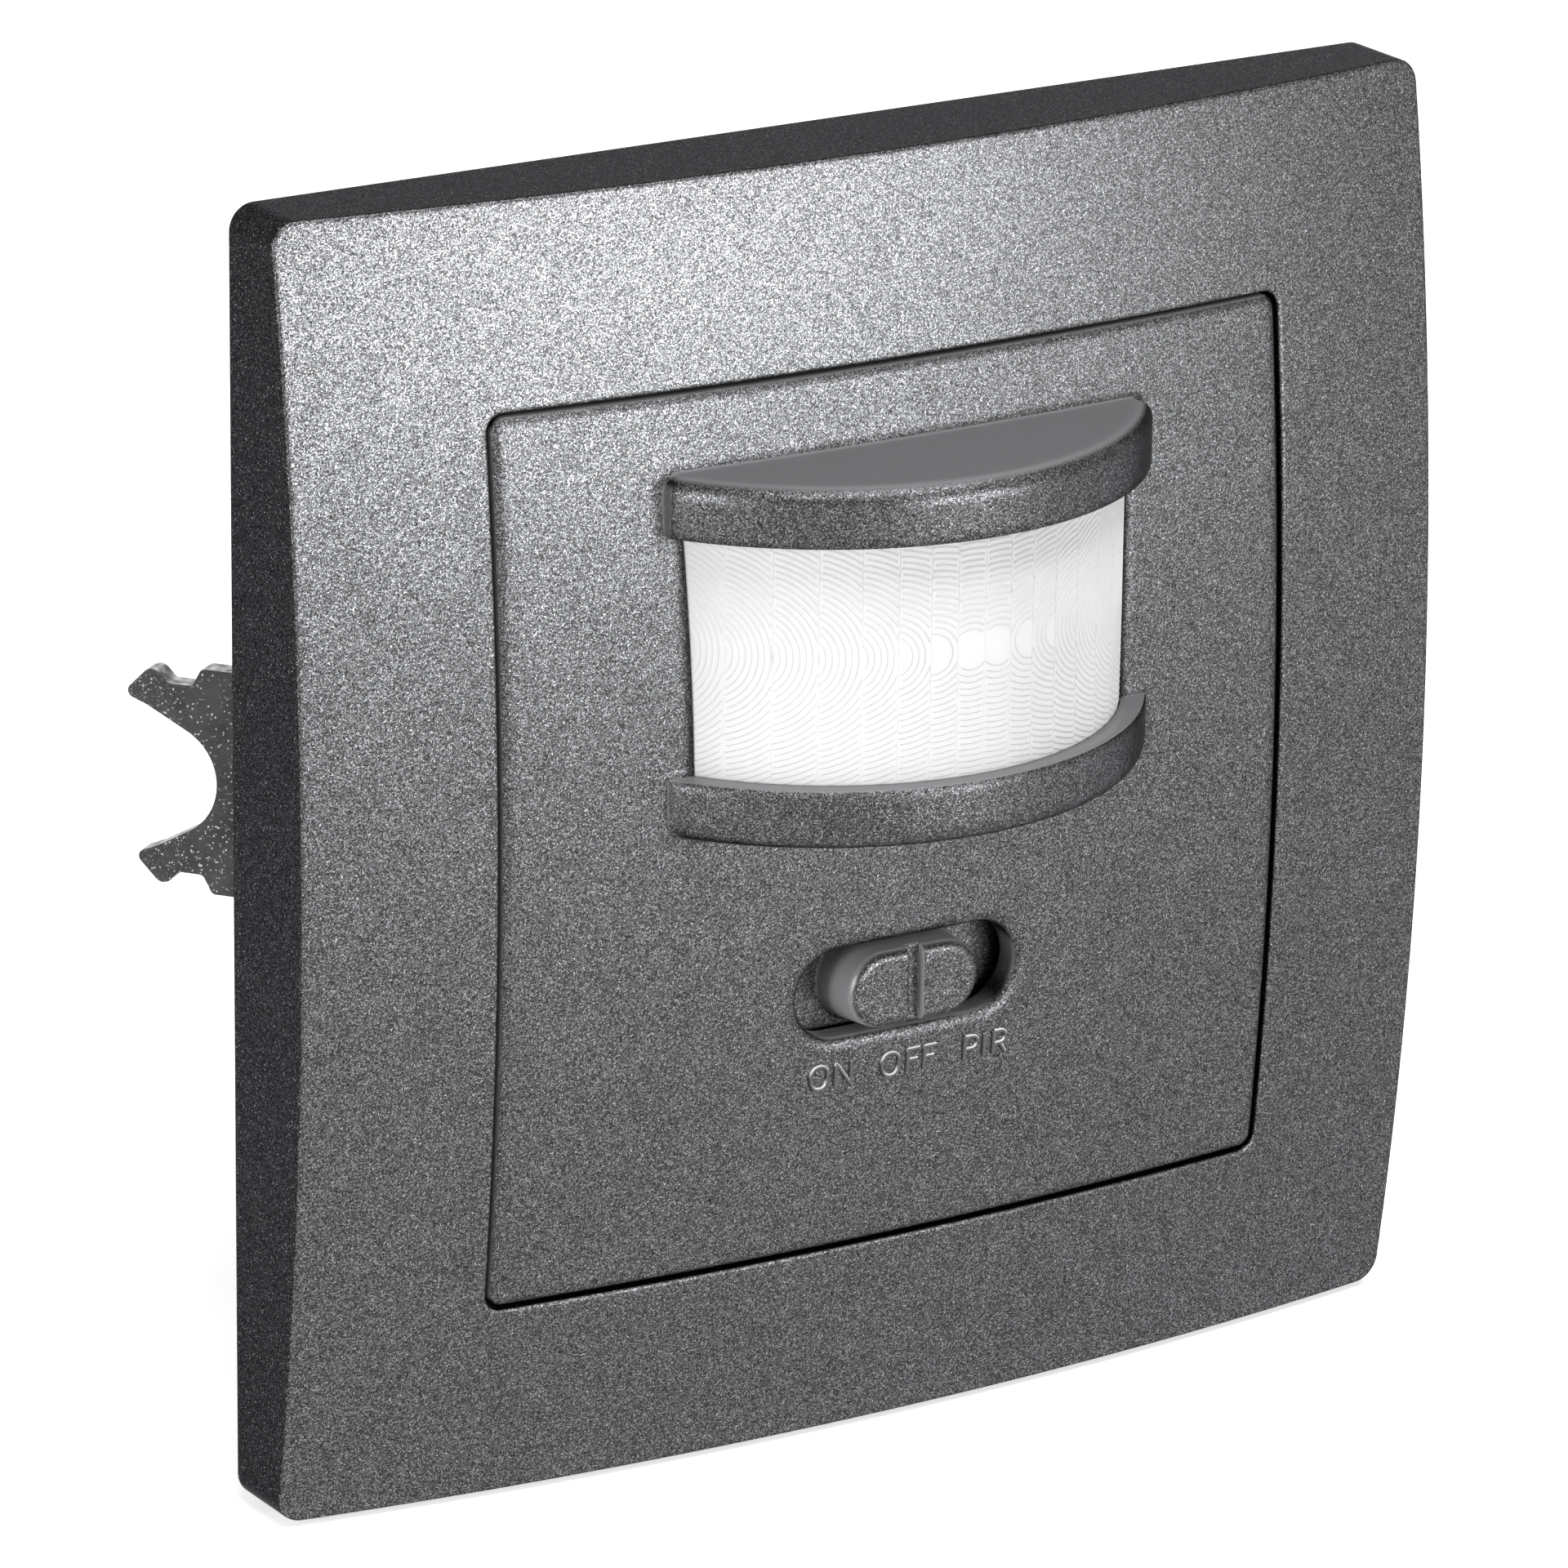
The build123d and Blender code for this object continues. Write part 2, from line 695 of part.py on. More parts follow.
# Sensor board
with BuildPart() as sensor_board:
    with BuildSketch(level(board_back)) as outline:
        Rectangle(board_width, board_height)
        chamfer(outline.vertices(), board_corner_cut)
        with Locations((-board_screw_x, board_screw_z), (board_screw_x, board_screw_z)):
            Circle(board_screw_radius + lens_gap, mode=Mode.SUBTRACT)
    extrude(amount=board_thickness)
export(sensor_board.part, "sensor_board")

# Pyroelectric sensor: a flanged can with a window in its front
with BuildPart() as pir_sensor:
    with BuildSketch(level(board_level)):
        with Locations((0, window_z)):
            Circle(pir_flange_radius)
    extrude(amount=pir_flange_thickness)
    with BuildSketch(level(board_level)):
        with Locations((0, window_z)):
            Circle(pir_radius)
    extrude(amount=pir_height)
    fillet(pir_sensor.edges().sort_by(Axis.Y)[0], pir_window_thickness)
    with BuildSketch(level(board_level + pir_height)):
        with Locations((0, window_z)):
            Rectangle(pir_window_width, pir_window_height)
    extrude(amount=-pir_window_thickness, mode=Mode.SUBTRACT)
export(pir_sensor.part, "pir_sensor")

with BuildPart() as pir_window:
    with BuildSketch(level(board_level + pir_height)):
        with Locations((0, window_z)):
            Rectangle(pir_window_width, pir_window_height)
    extrude(amount=-pir_window_thickness)
export(pir_window.part, "pir_window")

with BuildPart() as light_sensor:
    with BuildSketch(level(board_level)):
        with Locations((light_sensor_x, light_sensor_z)):
            Circle(light_sensor_radius)
            with Locations((0, light_sensor_radius), (0, -light_sensor_radius)):
                Rectangle(2 * light_sensor_radius, light_sensor_radius / 4, mode=Mode.SUBTRACT)
    extrude(amount=light_sensor_height)
export(light_sensor.part, "light_sensor")

with BuildPart() as control_chip:
    with BuildSketch(level(board_level)):
        with Locations((chip_x, slot_z)):
            Rectangle(chip_width, chip_height)
    extrude(amount=chip_thickness)
    chamfer(control_chip.faces().sort_by(Axis.Y)[0].edges(), chip_leg_width / 2)
    with BuildSketch(level(board_level)):
        with Locations((chip_x, slot_z)):
            leg_pitch = chip_width / (chip_leg_count + 1)
            with GridLocations(leg_pitch, chip_height + chip_leg_reach, chip_leg_count, 2):
                Rectangle(chip_leg_width, chip_leg_reach)
    extrude(amount=chip_leg_width)
export(control_chip.part, "control_chip")

# Trimmers for the light threshold and the run time, on the back of the sensor board
for name, side in (("lux", -1), ("time", 1)):
    place = (side * trimmer_x, trimmer_z)
    rotor_front = board_back - trimmer_depth + rotor_recess
    with BuildPart() as trimmer_body:
        with BuildSketch(level(board_back)):
            with Locations(place):
                Rectangle(trimmer_size, trimmer_size)
        extrude(amount=-trimmer_depth)
        with BuildSketch(level(rotor_front)):
            with Locations(place):
                Circle(rotor_radius + rotor_gap)
        extrude(amount=-trimmer_depth, mode=Mode.SUBTRACT)
    export(trimmer_body.part, f"{name}_trimmer_body")
    with BuildPart() as trimmer_rotor:
        with BuildSketch(level(rotor_front - rotor_gap)):
            with Locations(place):
                Circle(rotor_radius)
        extrude(amount=-rotor_thickness)
        with BuildSketch(level(rotor_front - rotor_gap - rotor_thickness)):
            with Locations(place):
                Rectangle(2 * rotor_slot_share * rotor_radius, rotor_slot_width)
                Rectangle(rotor_slot_width, 2 * rotor_slot_share * rotor_radius)
        extrude(amount=rotor_slot_depth, mode=Mode.SUBTRACT)
    export(trimmer_rotor.part, f"{name}_trimmer_rotor")

# Plug connection: pins in a strip on the sensor board, a socket on the power board
with BuildPart() as header_base:
    with BuildSketch(level(board_back)):
        with Locations((0, connector_z)):
            Rectangle(header_width, header_height)
            with GridLocations(pin_pitch, 0, pin_count, 1):
                Rectangle(pin_size + 2 * pin_gap, pin_size + 2 * pin_gap, mode=Mode.SUBTRACT)
    extrude(amount=-header_depth)
export(header_base.part, "header_base")

with BuildPart() as header_pins:
    with BuildSketch(level(board_back)):
        with Locations((0, connector_z)):
            with GridLocations(pin_pitch, 0, pin_count, 1):
                Rectangle(pin_size, pin_size)
    extrude(amount=-pin_length)
export(header_pins.part, "header_pins")

socket_front = board_back - header_depth - seat_gap
with BuildPart() as connector_socket:
    with BuildSketch(level(power_board_level)):
        with Locations((0, connector_z)):
            Rectangle(header_width, socket_height)
            with GridLocations(pin_pitch, 0, pin_count, 1):
                Rectangle(socket_bore, socket_bore, mode=Mode.SUBTRACT)
    extrude(amount=socket_front - power_board_level)
export(connector_socket.part, "connector_socket")

# Cover behind the sensor board, a tray with a rim
window_width = header_width + 2 * socket_window_gap
window_depth = socket_height + 2 * socket_window_gap
with BuildPart() as sensor_back_cover:
    with BuildSketch(level(tray_back_level)) as outline:
        Rectangle(tray_width, tray_height)
        chamfer(outline.vertices(), tray_corner_cut)
    extrude(amount=tray_rim_level - tray_back_level)
    with BuildSketch(level(tray_rim_level)) as outline:
        Rectangle(tray_rim_width, tray_rim_height)
        chamfer(outline.vertices(), tray_rim_corner_cut)
    extrude(amount=-tray_rim_thickness)
    with BuildSketch(level(tray_back_level + tray_wall)) as outline:
        Rectangle(tray_width - 2 * tray_wall, tray_height - 2 * tray_wall)
        chamfer(outline.vertices(), tray_corner_cut - tray_wall / 2)
    extrude(amount=tray_rim_level - tray_back_level, mode=Mode.SUBTRACT)
    # Posts under the board, with counterbored screw holes in the lower two
    with BuildSketch(level(tray_back_level)):
        with Locations((-board_screw_x, board_screw_z), (board_screw_x, board_screw_z)):
            Circle(post_radius)
        with Locations((-board_screw_x, tray_post_z), (board_screw_x, tray_post_z)):
            Circle(boss_radius)
    extrude(amount=board_back - tray_back_level)
    with Locations(level(tray_back_level)):
        with Locations((-board_screw_x, board_screw_z), (board_screw_x, board_screw_z)):
            with Locations(Rotation(180, 0, 0)):
                CounterBoreHole(
                    board_screw_radius + lens_gap,
                    board_screw_head_radius + lens_gap,
                    board_screw_head_height,
                    depth=board_back - tray_back_level + cut_overrun,
                )
    # Window for the socket and holes for a screwdriver at the trimmers
    with BuildSketch(level(tray_back_level)):
        with Locations((0, connector_z)):
            Rectangle(window_width, window_depth)
        with Locations((-trimmer_x, trimmer_z), (trimmer_x, trimmer_z)):
            Circle(driver_hole_radius)
    extrude(amount=tray_wall, mode=Mode.SUBTRACT)
export(sensor_back_cover.part, "sensor_back_cover")

with BuildPart() as sensor_screws:
    head_front = tray_back_level + board_screw_head_height
    with BuildSketch(level(tray_back_level)):
        with Locations((-board_screw_x, board_screw_z), (board_screw_x, board_screw_z)):
            Circle(board_screw_head_radius)
    extrude(amount=board_screw_head_height)
    with BuildSketch(level(head_front)):
        with Locations((-board_screw_x, board_screw_z), (board_screw_x, board_screw_z)):
            Circle(board_screw_radius)
    extrude(amount=board_level + board_screw_grip - head_front)
export(sensor_screws.part, "sensor_screws")

# Support frame: steel plate with its cut-out, holes and lugs for the claw pins
lug_z = knuckle_length / 2 + lug_gap
slot_outer = leg_z + leg_gap
slot_inner = leg_z - leg_wall - leg_gap
with BuildPart() as support_frame:
    with BuildSketch(level(0)):
        RectangleRounded(support_size, support_size, support_corner_radius)
    extrude(amount=support_thickness)
    with BuildSketch(level(0)) as outline:
        Rectangle(tray_rim_width + 2 * cutout_gap, tray_rim_height + 2 * cutout_gap)
        chamfer(outline.vertices(), tray_rim_corner_cut - cutout_gap)
    extrude(amount=support_thickness, mode=Mode.SUBTRACT)
    with BuildSketch(level(0)):
        with GridLocations(0, box_screw_spacing, 1, 2):
            Circle(box_screw_hole_radius)
        with GridLocations(2 * claw_screw_x, 0, 2, 1):
            Circle(claw_screw_radius + claw_screw_hole_gap)
        with GridLocations(2 * housing_screw_x, 2 * housing_screw_z, 2, 2):
            Circle(housing_screw_radius + driver_gap)
        with GridLocations(panel_hole_spacing, panel_hole_spacing, 2, 2):
            Circle(panel_hole_radius)
        with GridLocations(2 * leg_x, slot_outer + slot_inner, 2, 2):
            Rectangle(leg_width + 2 * leg_gap, slot_outer - slot_inner)
    extrude(amount=support_thickness, mode=Mode.SUBTRACT)
    # Lugs bent back from the plate on both sides of each claw's knuckle
    for side in (-1, 1):
        for low in (lug_z, -lug_z - lug_thickness):
            with BuildSketch(Plane.XY.offset(low)):
                with Locations((side * claw_pivot_x, claw_pivot_depth)):
                    Circle(lug_radius)
                with Locations((side * claw_pivot_x, 0)):
                    Rectangle(2 * lug_radius, claw_pivot_depth, align=(Align.CENTER, Align.MIN))
                with Locations((side * claw_pivot_x, claw_pivot_depth)):
                    Circle(pin_radius + fit_gap, mode=Mode.SUBTRACT)
            extrude(amount=lug_thickness)
export(support_frame.part, "support_frame")

# Claw pins with a head above and below their lugs
with BuildPart() as claw_pins:
    pin_end = lug_z + lug_thickness + fit_gap
    for side in (-1, 1):
        with BuildSketch(Plane.XY.offset(-pin_end)):
            with Locations((side * claw_pivot_x, claw_pivot_depth)):
                Circle(pin_radius)
        extrude(amount=2 * pin_end)
        for low in (pin_end, -pin_end - pin_head_height):
            with BuildSketch(Plane.XY.offset(low)):
                with Locations((side * claw_pivot_x, claw_pivot_depth)):
                    Circle(pin_head_radius)
            extrude(amount=pin_head_height)
export(claw_pins.part, "claw_pins")

# Left claw: knuckle, arm with its prongs, and the fork bent out of the arm's window
left_pivot = (-claw_pivot_x, claw_pivot_depth, 0)
arm_angle = 90 + claw_spread
fork_angle = arm_angle + claw_bend
half_claw = claw_width / 2


def prong(side):
    """Outline of one prong from the arm's side to its underside, above or below the middle."""
    return [
        (reach * claw_length + side * claw_stagger, side * height * half_claw)
        for reach, height in prong_shares
    ]


with BuildPart() as left_claw:
    half_knuckle = knuckle_length / 2
    prong_radii = [
        claw_step_rounding,
        claw_step_rounding,
        claw_step_rounding,
        claw_hook_rounding,
        claw_tip_rounding,
        claw_tip_rounding,
    ]
    with BuildSketch(upright_plane(left_pivot, arm_angle)):
        with BuildLine():
            FilletPolyline(
                (0, -half_knuckle),
                (0, half_knuckle),
                (claw_shoulder, half_knuckle),
                (claw_shoulder, half_claw),
                *prong(1),
                (valley_share * claw_length, 0),
                *reversed(prong(-1)),
                (claw_shoulder, -half_claw),
                (claw_shoulder, -half_knuckle),
                radius=[0, 0, 0, 0, *prong_radii, claw_valley_radius, *reversed(prong_radii), 0, 0],
                close=True,
            )
        make_face()
        with Locations((claw_window_start, 0)):
            Rectangle(
                claw_window_end - claw_window_start,
                claw_window_height,
                align=(Align.MIN, Align.CENTER),
                mode=Mode.SUBTRACT,
            )
    extrude(amount=claw_thickness / 2, both=True)
    with BuildSketch(upright_plane(left_pivot, fork_angle)):
        Rectangle(fork_length, fork_height, align=(Align.MIN, Align.CENTER))
        with Locations((fork_slot_start, 0)):
            Rectangle(fork_length, fork_slot_height, align=(Align.MIN, Align.CENTER), mode=Mode.SUBTRACT)
    extrude(amount=claw_thickness / 2, both=True)
    with BuildSketch(Plane.XY.offset(-half_knuckle)):
        with Locations((-claw_pivot_x, claw_pivot_depth)):
            Circle(knuckle_radius)
    extrude(amount=knuckle_length)
    with BuildSketch(Plane.XY.offset(-half_knuckle)):
        with Locations((-claw_pivot_x, claw_pivot_depth)):
            Circle(pin_radius + fit_gap)
    extrude(amount=knuckle_length, mode=Mode.SUBTRACT)
export(left_claw.part, "left_claw")

with BuildPart() as right_claw:
    add(left_claw.part)
    mirror(about=Plane.YZ, mode=Mode.REPLACE)
export(right_claw.part, "right_claw")

# Claw screws and the half-round nuts behind the forks
fork_tilt = math.radians(180 - fork_angle)
lever_arm = claw_screw_x - claw_pivot_x
nut_reach = (claw_thickness / 2 + nut_radius) / math.cos(fork_tilt)
nut_depth = claw_pivot_depth + lever_arm * math.tan(fork_tilt) + nut_reach + nut_gap
for name, side in (("left", -1), ("right", 1)):
    with BuildPart() as claw_screw:
        with BuildSketch(level(support_thickness)):
            with Locations((side * claw_screw_x, 0)):
                Circle(claw_screw_head_radius)
        extrude(amount=claw_screw_head_height)
        fillet(claw_screw.edges().sort_by(Axis.Y)[0], claw_screw_head_height / 2)
        with BuildSketch(level(support_thickness)):
            with Locations((side * claw_screw_x, 0)):
                Circle(claw_screw_radius)
        extrude(amount=-support_thickness - claw_screw_end)
        with BuildSketch(level(support_thickness + claw_screw_head_height)):
            with Locations((side * claw_screw_x, 0)):
                Rectangle(2 * claw_screw_head_radius, driver_slot_width)
        extrude(amount=-driver_slot_depth, mode=Mode.SUBTRACT)
    export(claw_screw.part, f"{name}_claw_screw")
    with BuildPart() as claw_nut:
        with BuildSketch(Plane.XY.offset(-nut_height / 2)):
            with Locations((side * claw_screw_x, nut_depth)):
                Circle(nut_radius)
                Rectangle(2 * nut_radius, nut_back, align=(Align.CENTER, Align.MIN))
            with Locations((side * claw_screw_x, nut_depth + nut_back)):
                Rectangle(
                    2 * nut_radius, 2 * nut_radius, align=(Align.CENTER, Align.MIN), mode=Mode.SUBTRACT
                )
        extrude(amount=nut_height)
        with BuildSketch(Plane.XZ):
            with Locations((side * claw_screw_x, 0)):
                Circle(claw_screw_radius + fit_gap)
        extrude(amount=-nut_depth - 2 * nut_radius, mode=Mode.SUBTRACT)
    export(claw_nut.part, f"{name}_claw_nut")

# Housing in the wall box
inside_width = housing_width - 2 * housing_wall
inside_height = housing_height - 2 * housing_wall
inside_radius = housing_corner_radius - housing_wall
block_front = power_board_back
power_cover_back = power_cover_level - power_cover_thickness
with BuildPart() as insert_housing:
    with BuildSketch(level(-housing_depth)):
        RectangleRounded(housing_width, housing_height, housing_corner_radius)
    extrude(amount=housing_depth)
    with BuildSketch(level(housing_wall - housing_depth)):
        RectangleRounded(inside_width, inside_height, inside_radius)
    extrude(amount=housing_depth, mode=Mode.SUBTRACT)
    # Corner bosses and the stepped ribs that carry the power board and the safety cover
    with BuildSketch(level(housing_wall - housing_depth)):
        with GridLocations(2 * housing_screw_x, 2 * housing_screw_z, 2, 2):
            Circle(housing_boss_radius)
    extrude(amount=housing_depth - housing_wall)
    with BuildSketch(level(housing_wall - housing_depth)):
        with GridLocations(inside_width - board_rib_reach, 2 * housing_rib_z, 2, 2):
            Rectangle(board_rib_reach, housing_rib)
    extrude(amount=housing_depth - housing_wall + power_board_back)
    with BuildSketch(level(housing_wall - housing_depth)):
        with GridLocations(inside_width - cover_rib_reach, 2 * housing_rib_z, 2, 2):
            Rectangle(cover_rib_reach, housing_rib)
    extrude(amount=housing_depth - housing_wall + power_cover_back)
    with BuildSketch(level(0)):
        with GridLocations(2 * housing_screw_x, 2 * housing_screw_z, 2, 2):
            Circle(housing_screw_radius + fit_gap)
    extrude(amount=-housing_screw_length - cut_overrun, mode=Mode.SUBTRACT)
    # Window for the terminal block and the holes over its screws
    with BuildSketch(level(-housing_depth)):
        with Locations((0, terminal_block_z)):
            Rectangle(
                terminal_block_width + 2 * terminal_block_gap,
                terminal_block_height + 2 * terminal_block_gap,
            )
    extrude(amount=housing_wall, mode=Mode.SUBTRACT)
    clamp_back = power_board_back - chamber_depth
    clamp_level = clamp_back + clamp_end_gap + clamp_depth / 2
    with BuildSketch(Plane.XY.offset(-housing_height / 2)):
        with Locations((0, -clamp_level)):
            with GridLocations(terminal_pitch, 0, terminal_count, 1):
                Circle(terminal_screw_head_radius + 2 * driver_gap)
    extrude(amount=housing_wall, mode=Mode.SUBTRACT)
export(insert_housing.part, "insert_housing")

with BuildPart() as housing_screws:
    with BuildSketch(level(support_thickness)):
        with GridLocations(2 * housing_screw_x, 2 * housing_screw_z, 2, 2):
            Circle(housing_screw_head_radius)
    extrude(amount=housing_screw_head_height)
    with BuildSketch(level(support_thickness)):
        with GridLocations(2 * housing_screw_x, 2 * housing_screw_z, 2, 2):
            Circle(housing_screw_radius)
    extrude(amount=-support_thickness - housing_screw_length)
export(housing_screws.part, "housing_screws")

# Safety cover over the power board
with BuildPart() as power_cover:
    with BuildSketch(level(power_cover_back)) as outline:
        Rectangle(inside_width - 2 * power_cover_gap, inside_height - 2 * power_cover_gap)
        chamfer(outline.vertices(), power_cover_corner_cut)
        with Locations((0, connector_z)):
            Rectangle(window_width, window_depth, mode=Mode.SUBTRACT)
    extrude(amount=power_cover_thickness)
export(power_cover.part, "power_cover")

with BuildPart() as power_board:
    with BuildSketch(level(power_board_back)) as outline:
        Rectangle(power_board_width, power_board_height)
        chamfer(outline.vertices(), power_board_corner_cut)
    extrude(amount=power_board_thickness)
export(power_board.part, "power_board")

# Components behind the power board


def on_board(shares):
    """Place on the power board from its shares of the housing's width and height."""
    return (shares[0] * housing_width, shares[1] * housing_height)


for name, shares, place_shares, depth in (
    ("relay", relay_shares, relay_place_shares, relay_depth),
    ("x_capacitor", capacitor_shares, capacitor_place_shares, capacitor_depth),
    ("bridge_rectifier", rectifier_shares, rectifier_place_shares, rectifier_depth),
):
    with BuildPart() as component:
        with BuildSketch(level(power_board_back)):
            with Locations(on_board(place_shares)):
                Rectangle(*on_board(shares))
        extrude(amount=-depth)
        fillet(component.faces().sort_by(Axis.Y)[-1].edges(), component_rounding)
    export(component.part, name)

electrolytic_radius = electrolytic_radius_share * housing_width
with BuildPart() as electrolytic_capacitor:
    with BuildSketch(level(power_board_back)):
        with Locations(on_board(electrolytic_place_shares)):
            Circle(electrolytic_radius)
    extrude(amount=-electrolytic_height)
    chamfer(electrolytic_capacitor.edges().sort_by(Axis.Y)[-1], component_rounding / 2)
    with BuildSketch(level(power_board_back - 2 * component_rounding)):
        with Locations(on_board(electrolytic_place_shares)):
            Circle(electrolytic_radius)
            Circle(electrolytic_radius - electrolytic_groove, mode=Mode.SUBTRACT)
    extrude(amount=-component_rounding, mode=Mode.SUBTRACT)
export(electrolytic_capacitor.part, "electrolytic_capacitor")

with BuildPart() as fuse:
    with BuildSketch(level(power_board_back)):
        with Locations(on_board(fuse_place_shares)):
            Circle(fuse_radius_share * housing_width)
    extrude(amount=-fuse_height)
    chamfer(fuse.edges().sort_by(Axis.Y)[-1], component_rounding)
export(fuse.part, "fuse")

varistor_radius = varistor_radius_share * housing_width
varistor_x, varistor_z = on_board(varistor_place_shares)
with BuildPart() as varistor:
    with BuildSketch(Plane.XY.offset(varistor_z - varistor_thickness / 2)):
        with Locations((varistor_x, varistor_radius - power_board_back)):
            Circle(varistor_radius)
    extrude(amount=varistor_thickness)
    chamfer(varistor.edges().filter_by(GeomType.CIRCLE), component_rounding)
export(varistor.part, "varistor")

# Terminal block: one chamber for each clamp, open to the board, with a wire entry at the back
block_bottom = terminal_block_z - terminal_block_height / 2
with BuildPart() as terminal_block:
    with BuildSketch(level(block_front)):
        with Locations((0, terminal_block_z)):
            Rectangle(terminal_block_width, terminal_block_height)
    extrude(amount=-housing_depth - block_front)
    with BuildSketch(level(block_front)):
        with Locations((0, terminal_block_z)):
            with GridLocations(terminal_pitch, 0, terminal_count, 1):
                Rectangle(chamber_width, chamber_height)
    extrude(amount=-chamber_depth, mode=Mode.SUBTRACT)
    with BuildSketch(level(-housing_depth)):
        with Locations((0, wire_entry_z)):
            with GridLocations(terminal_pitch, 0, terminal_count, 1):
                Circle(wire_entry_radius)
    extrude(amount=housing_depth, mode=Mode.SUBTRACT)
    with BuildSketch(Plane.XY.offset(block_bottom)):
        with Locations((0, -clamp_level)):
            with GridLocations(terminal_pitch, 0, terminal_count, 1):
                Circle(terminal_screw_head_radius + driver_gap)
    extrude(amount=terminal_block_height / 2, mode=Mode.SUBTRACT)
export(terminal_block.part, "terminal_block")

clamp_front = clamp_level + clamp_depth / 2
clamp_bottom = terminal_block_z - clamp_height / 2
opening_bottom = wire_entry_z - clamp_opening_height / 2
with BuildPart() as terminal_clamps:
    with BuildSketch(level(clamp_front)):
        with GridLocations(terminal_pitch, 0, terminal_count, 1):
            with Locations((0, terminal_block_z)):
                Rectangle(clamp_width, clamp_height)
            with Locations((0, wire_entry_z)):
                Rectangle(clamp_opening_width, clamp_opening_height, mode=Mode.SUBTRACT)
    extrude(amount=-clamp_depth)
    # Tails from the clamps to the power board
    with BuildSketch(level(clamp_front)):
        with GridLocations(terminal_pitch, 0, terminal_count, 1):
            with Locations((0, clamp_bottom)):
                Rectangle(clamp_tail_width, clamp_tail_thickness, align=(Align.CENTER, Align.MIN))
    extrude(amount=block_front - clamp_front)
    with BuildSketch(Plane.XY.offset(clamp_bottom)):
        with Locations((0, -clamp_level)):
            with GridLocations(terminal_pitch, 0, terminal_count, 1):
                Circle(terminal_screw_radius + fit_gap)
    extrude(amount=opening_bottom - clamp_bottom, mode=Mode.SUBTRACT)
export(terminal_clamps.part, "terminal_clamps")

with BuildPart() as terminal_screws:
    head_top = clamp_bottom - fit_gap
    head_bottom = head_top - terminal_screw_head_height
    with BuildSketch(Plane.XY.offset(head_bottom)):
        with Locations((0, -clamp_level)):
            with GridLocations(terminal_pitch, 0, terminal_count, 1):
                Circle(terminal_screw_head_radius)
    extrude(amount=terminal_screw_head_height)
    with BuildSketch(Plane.XY.offset(head_bottom)):
        with Locations((0, -clamp_level)):
            with GridLocations(terminal_pitch, 0, terminal_count, 1):
                Rectangle(2 * terminal_screw_head_radius, driver_slot_width)
    extrude(amount=driver_slot_depth, mode=Mode.SUBTRACT)
    with BuildSketch(Plane.XY.offset(head_top)):
        with Locations((0, -clamp_level)):
            with GridLocations(terminal_pitch, 0, terminal_count, 1):
                Circle(terminal_screw_radius)
    extrude(amount=opening_bottom - head_top + terminal_screw_sink)
export(terminal_screws.part, "terminal_screws")
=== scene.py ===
"""Looks of the motion sensor light switch: lacquer, lens, lettering, metal parts, studio light."""
import json
import math

import bpy
from mathutils import Matrix, Vector


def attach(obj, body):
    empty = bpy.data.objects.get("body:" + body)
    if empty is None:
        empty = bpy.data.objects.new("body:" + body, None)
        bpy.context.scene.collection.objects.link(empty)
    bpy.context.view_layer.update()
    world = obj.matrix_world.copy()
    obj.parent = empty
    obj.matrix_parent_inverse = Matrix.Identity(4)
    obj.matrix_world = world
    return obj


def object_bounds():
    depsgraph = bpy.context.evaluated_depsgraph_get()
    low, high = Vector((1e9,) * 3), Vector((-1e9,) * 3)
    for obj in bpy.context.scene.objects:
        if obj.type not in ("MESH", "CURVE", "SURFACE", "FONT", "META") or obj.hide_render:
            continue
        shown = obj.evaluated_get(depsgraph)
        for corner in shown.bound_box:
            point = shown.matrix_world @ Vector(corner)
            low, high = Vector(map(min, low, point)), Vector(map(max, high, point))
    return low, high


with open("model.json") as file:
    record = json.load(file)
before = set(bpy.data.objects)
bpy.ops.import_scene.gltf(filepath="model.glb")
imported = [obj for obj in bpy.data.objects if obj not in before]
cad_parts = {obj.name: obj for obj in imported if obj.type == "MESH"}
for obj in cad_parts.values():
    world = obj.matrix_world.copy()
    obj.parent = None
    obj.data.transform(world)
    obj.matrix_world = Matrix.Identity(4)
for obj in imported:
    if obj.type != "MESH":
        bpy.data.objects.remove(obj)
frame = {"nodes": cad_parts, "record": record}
cad_low, cad_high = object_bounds()
MM = 0.001


# Material helpers


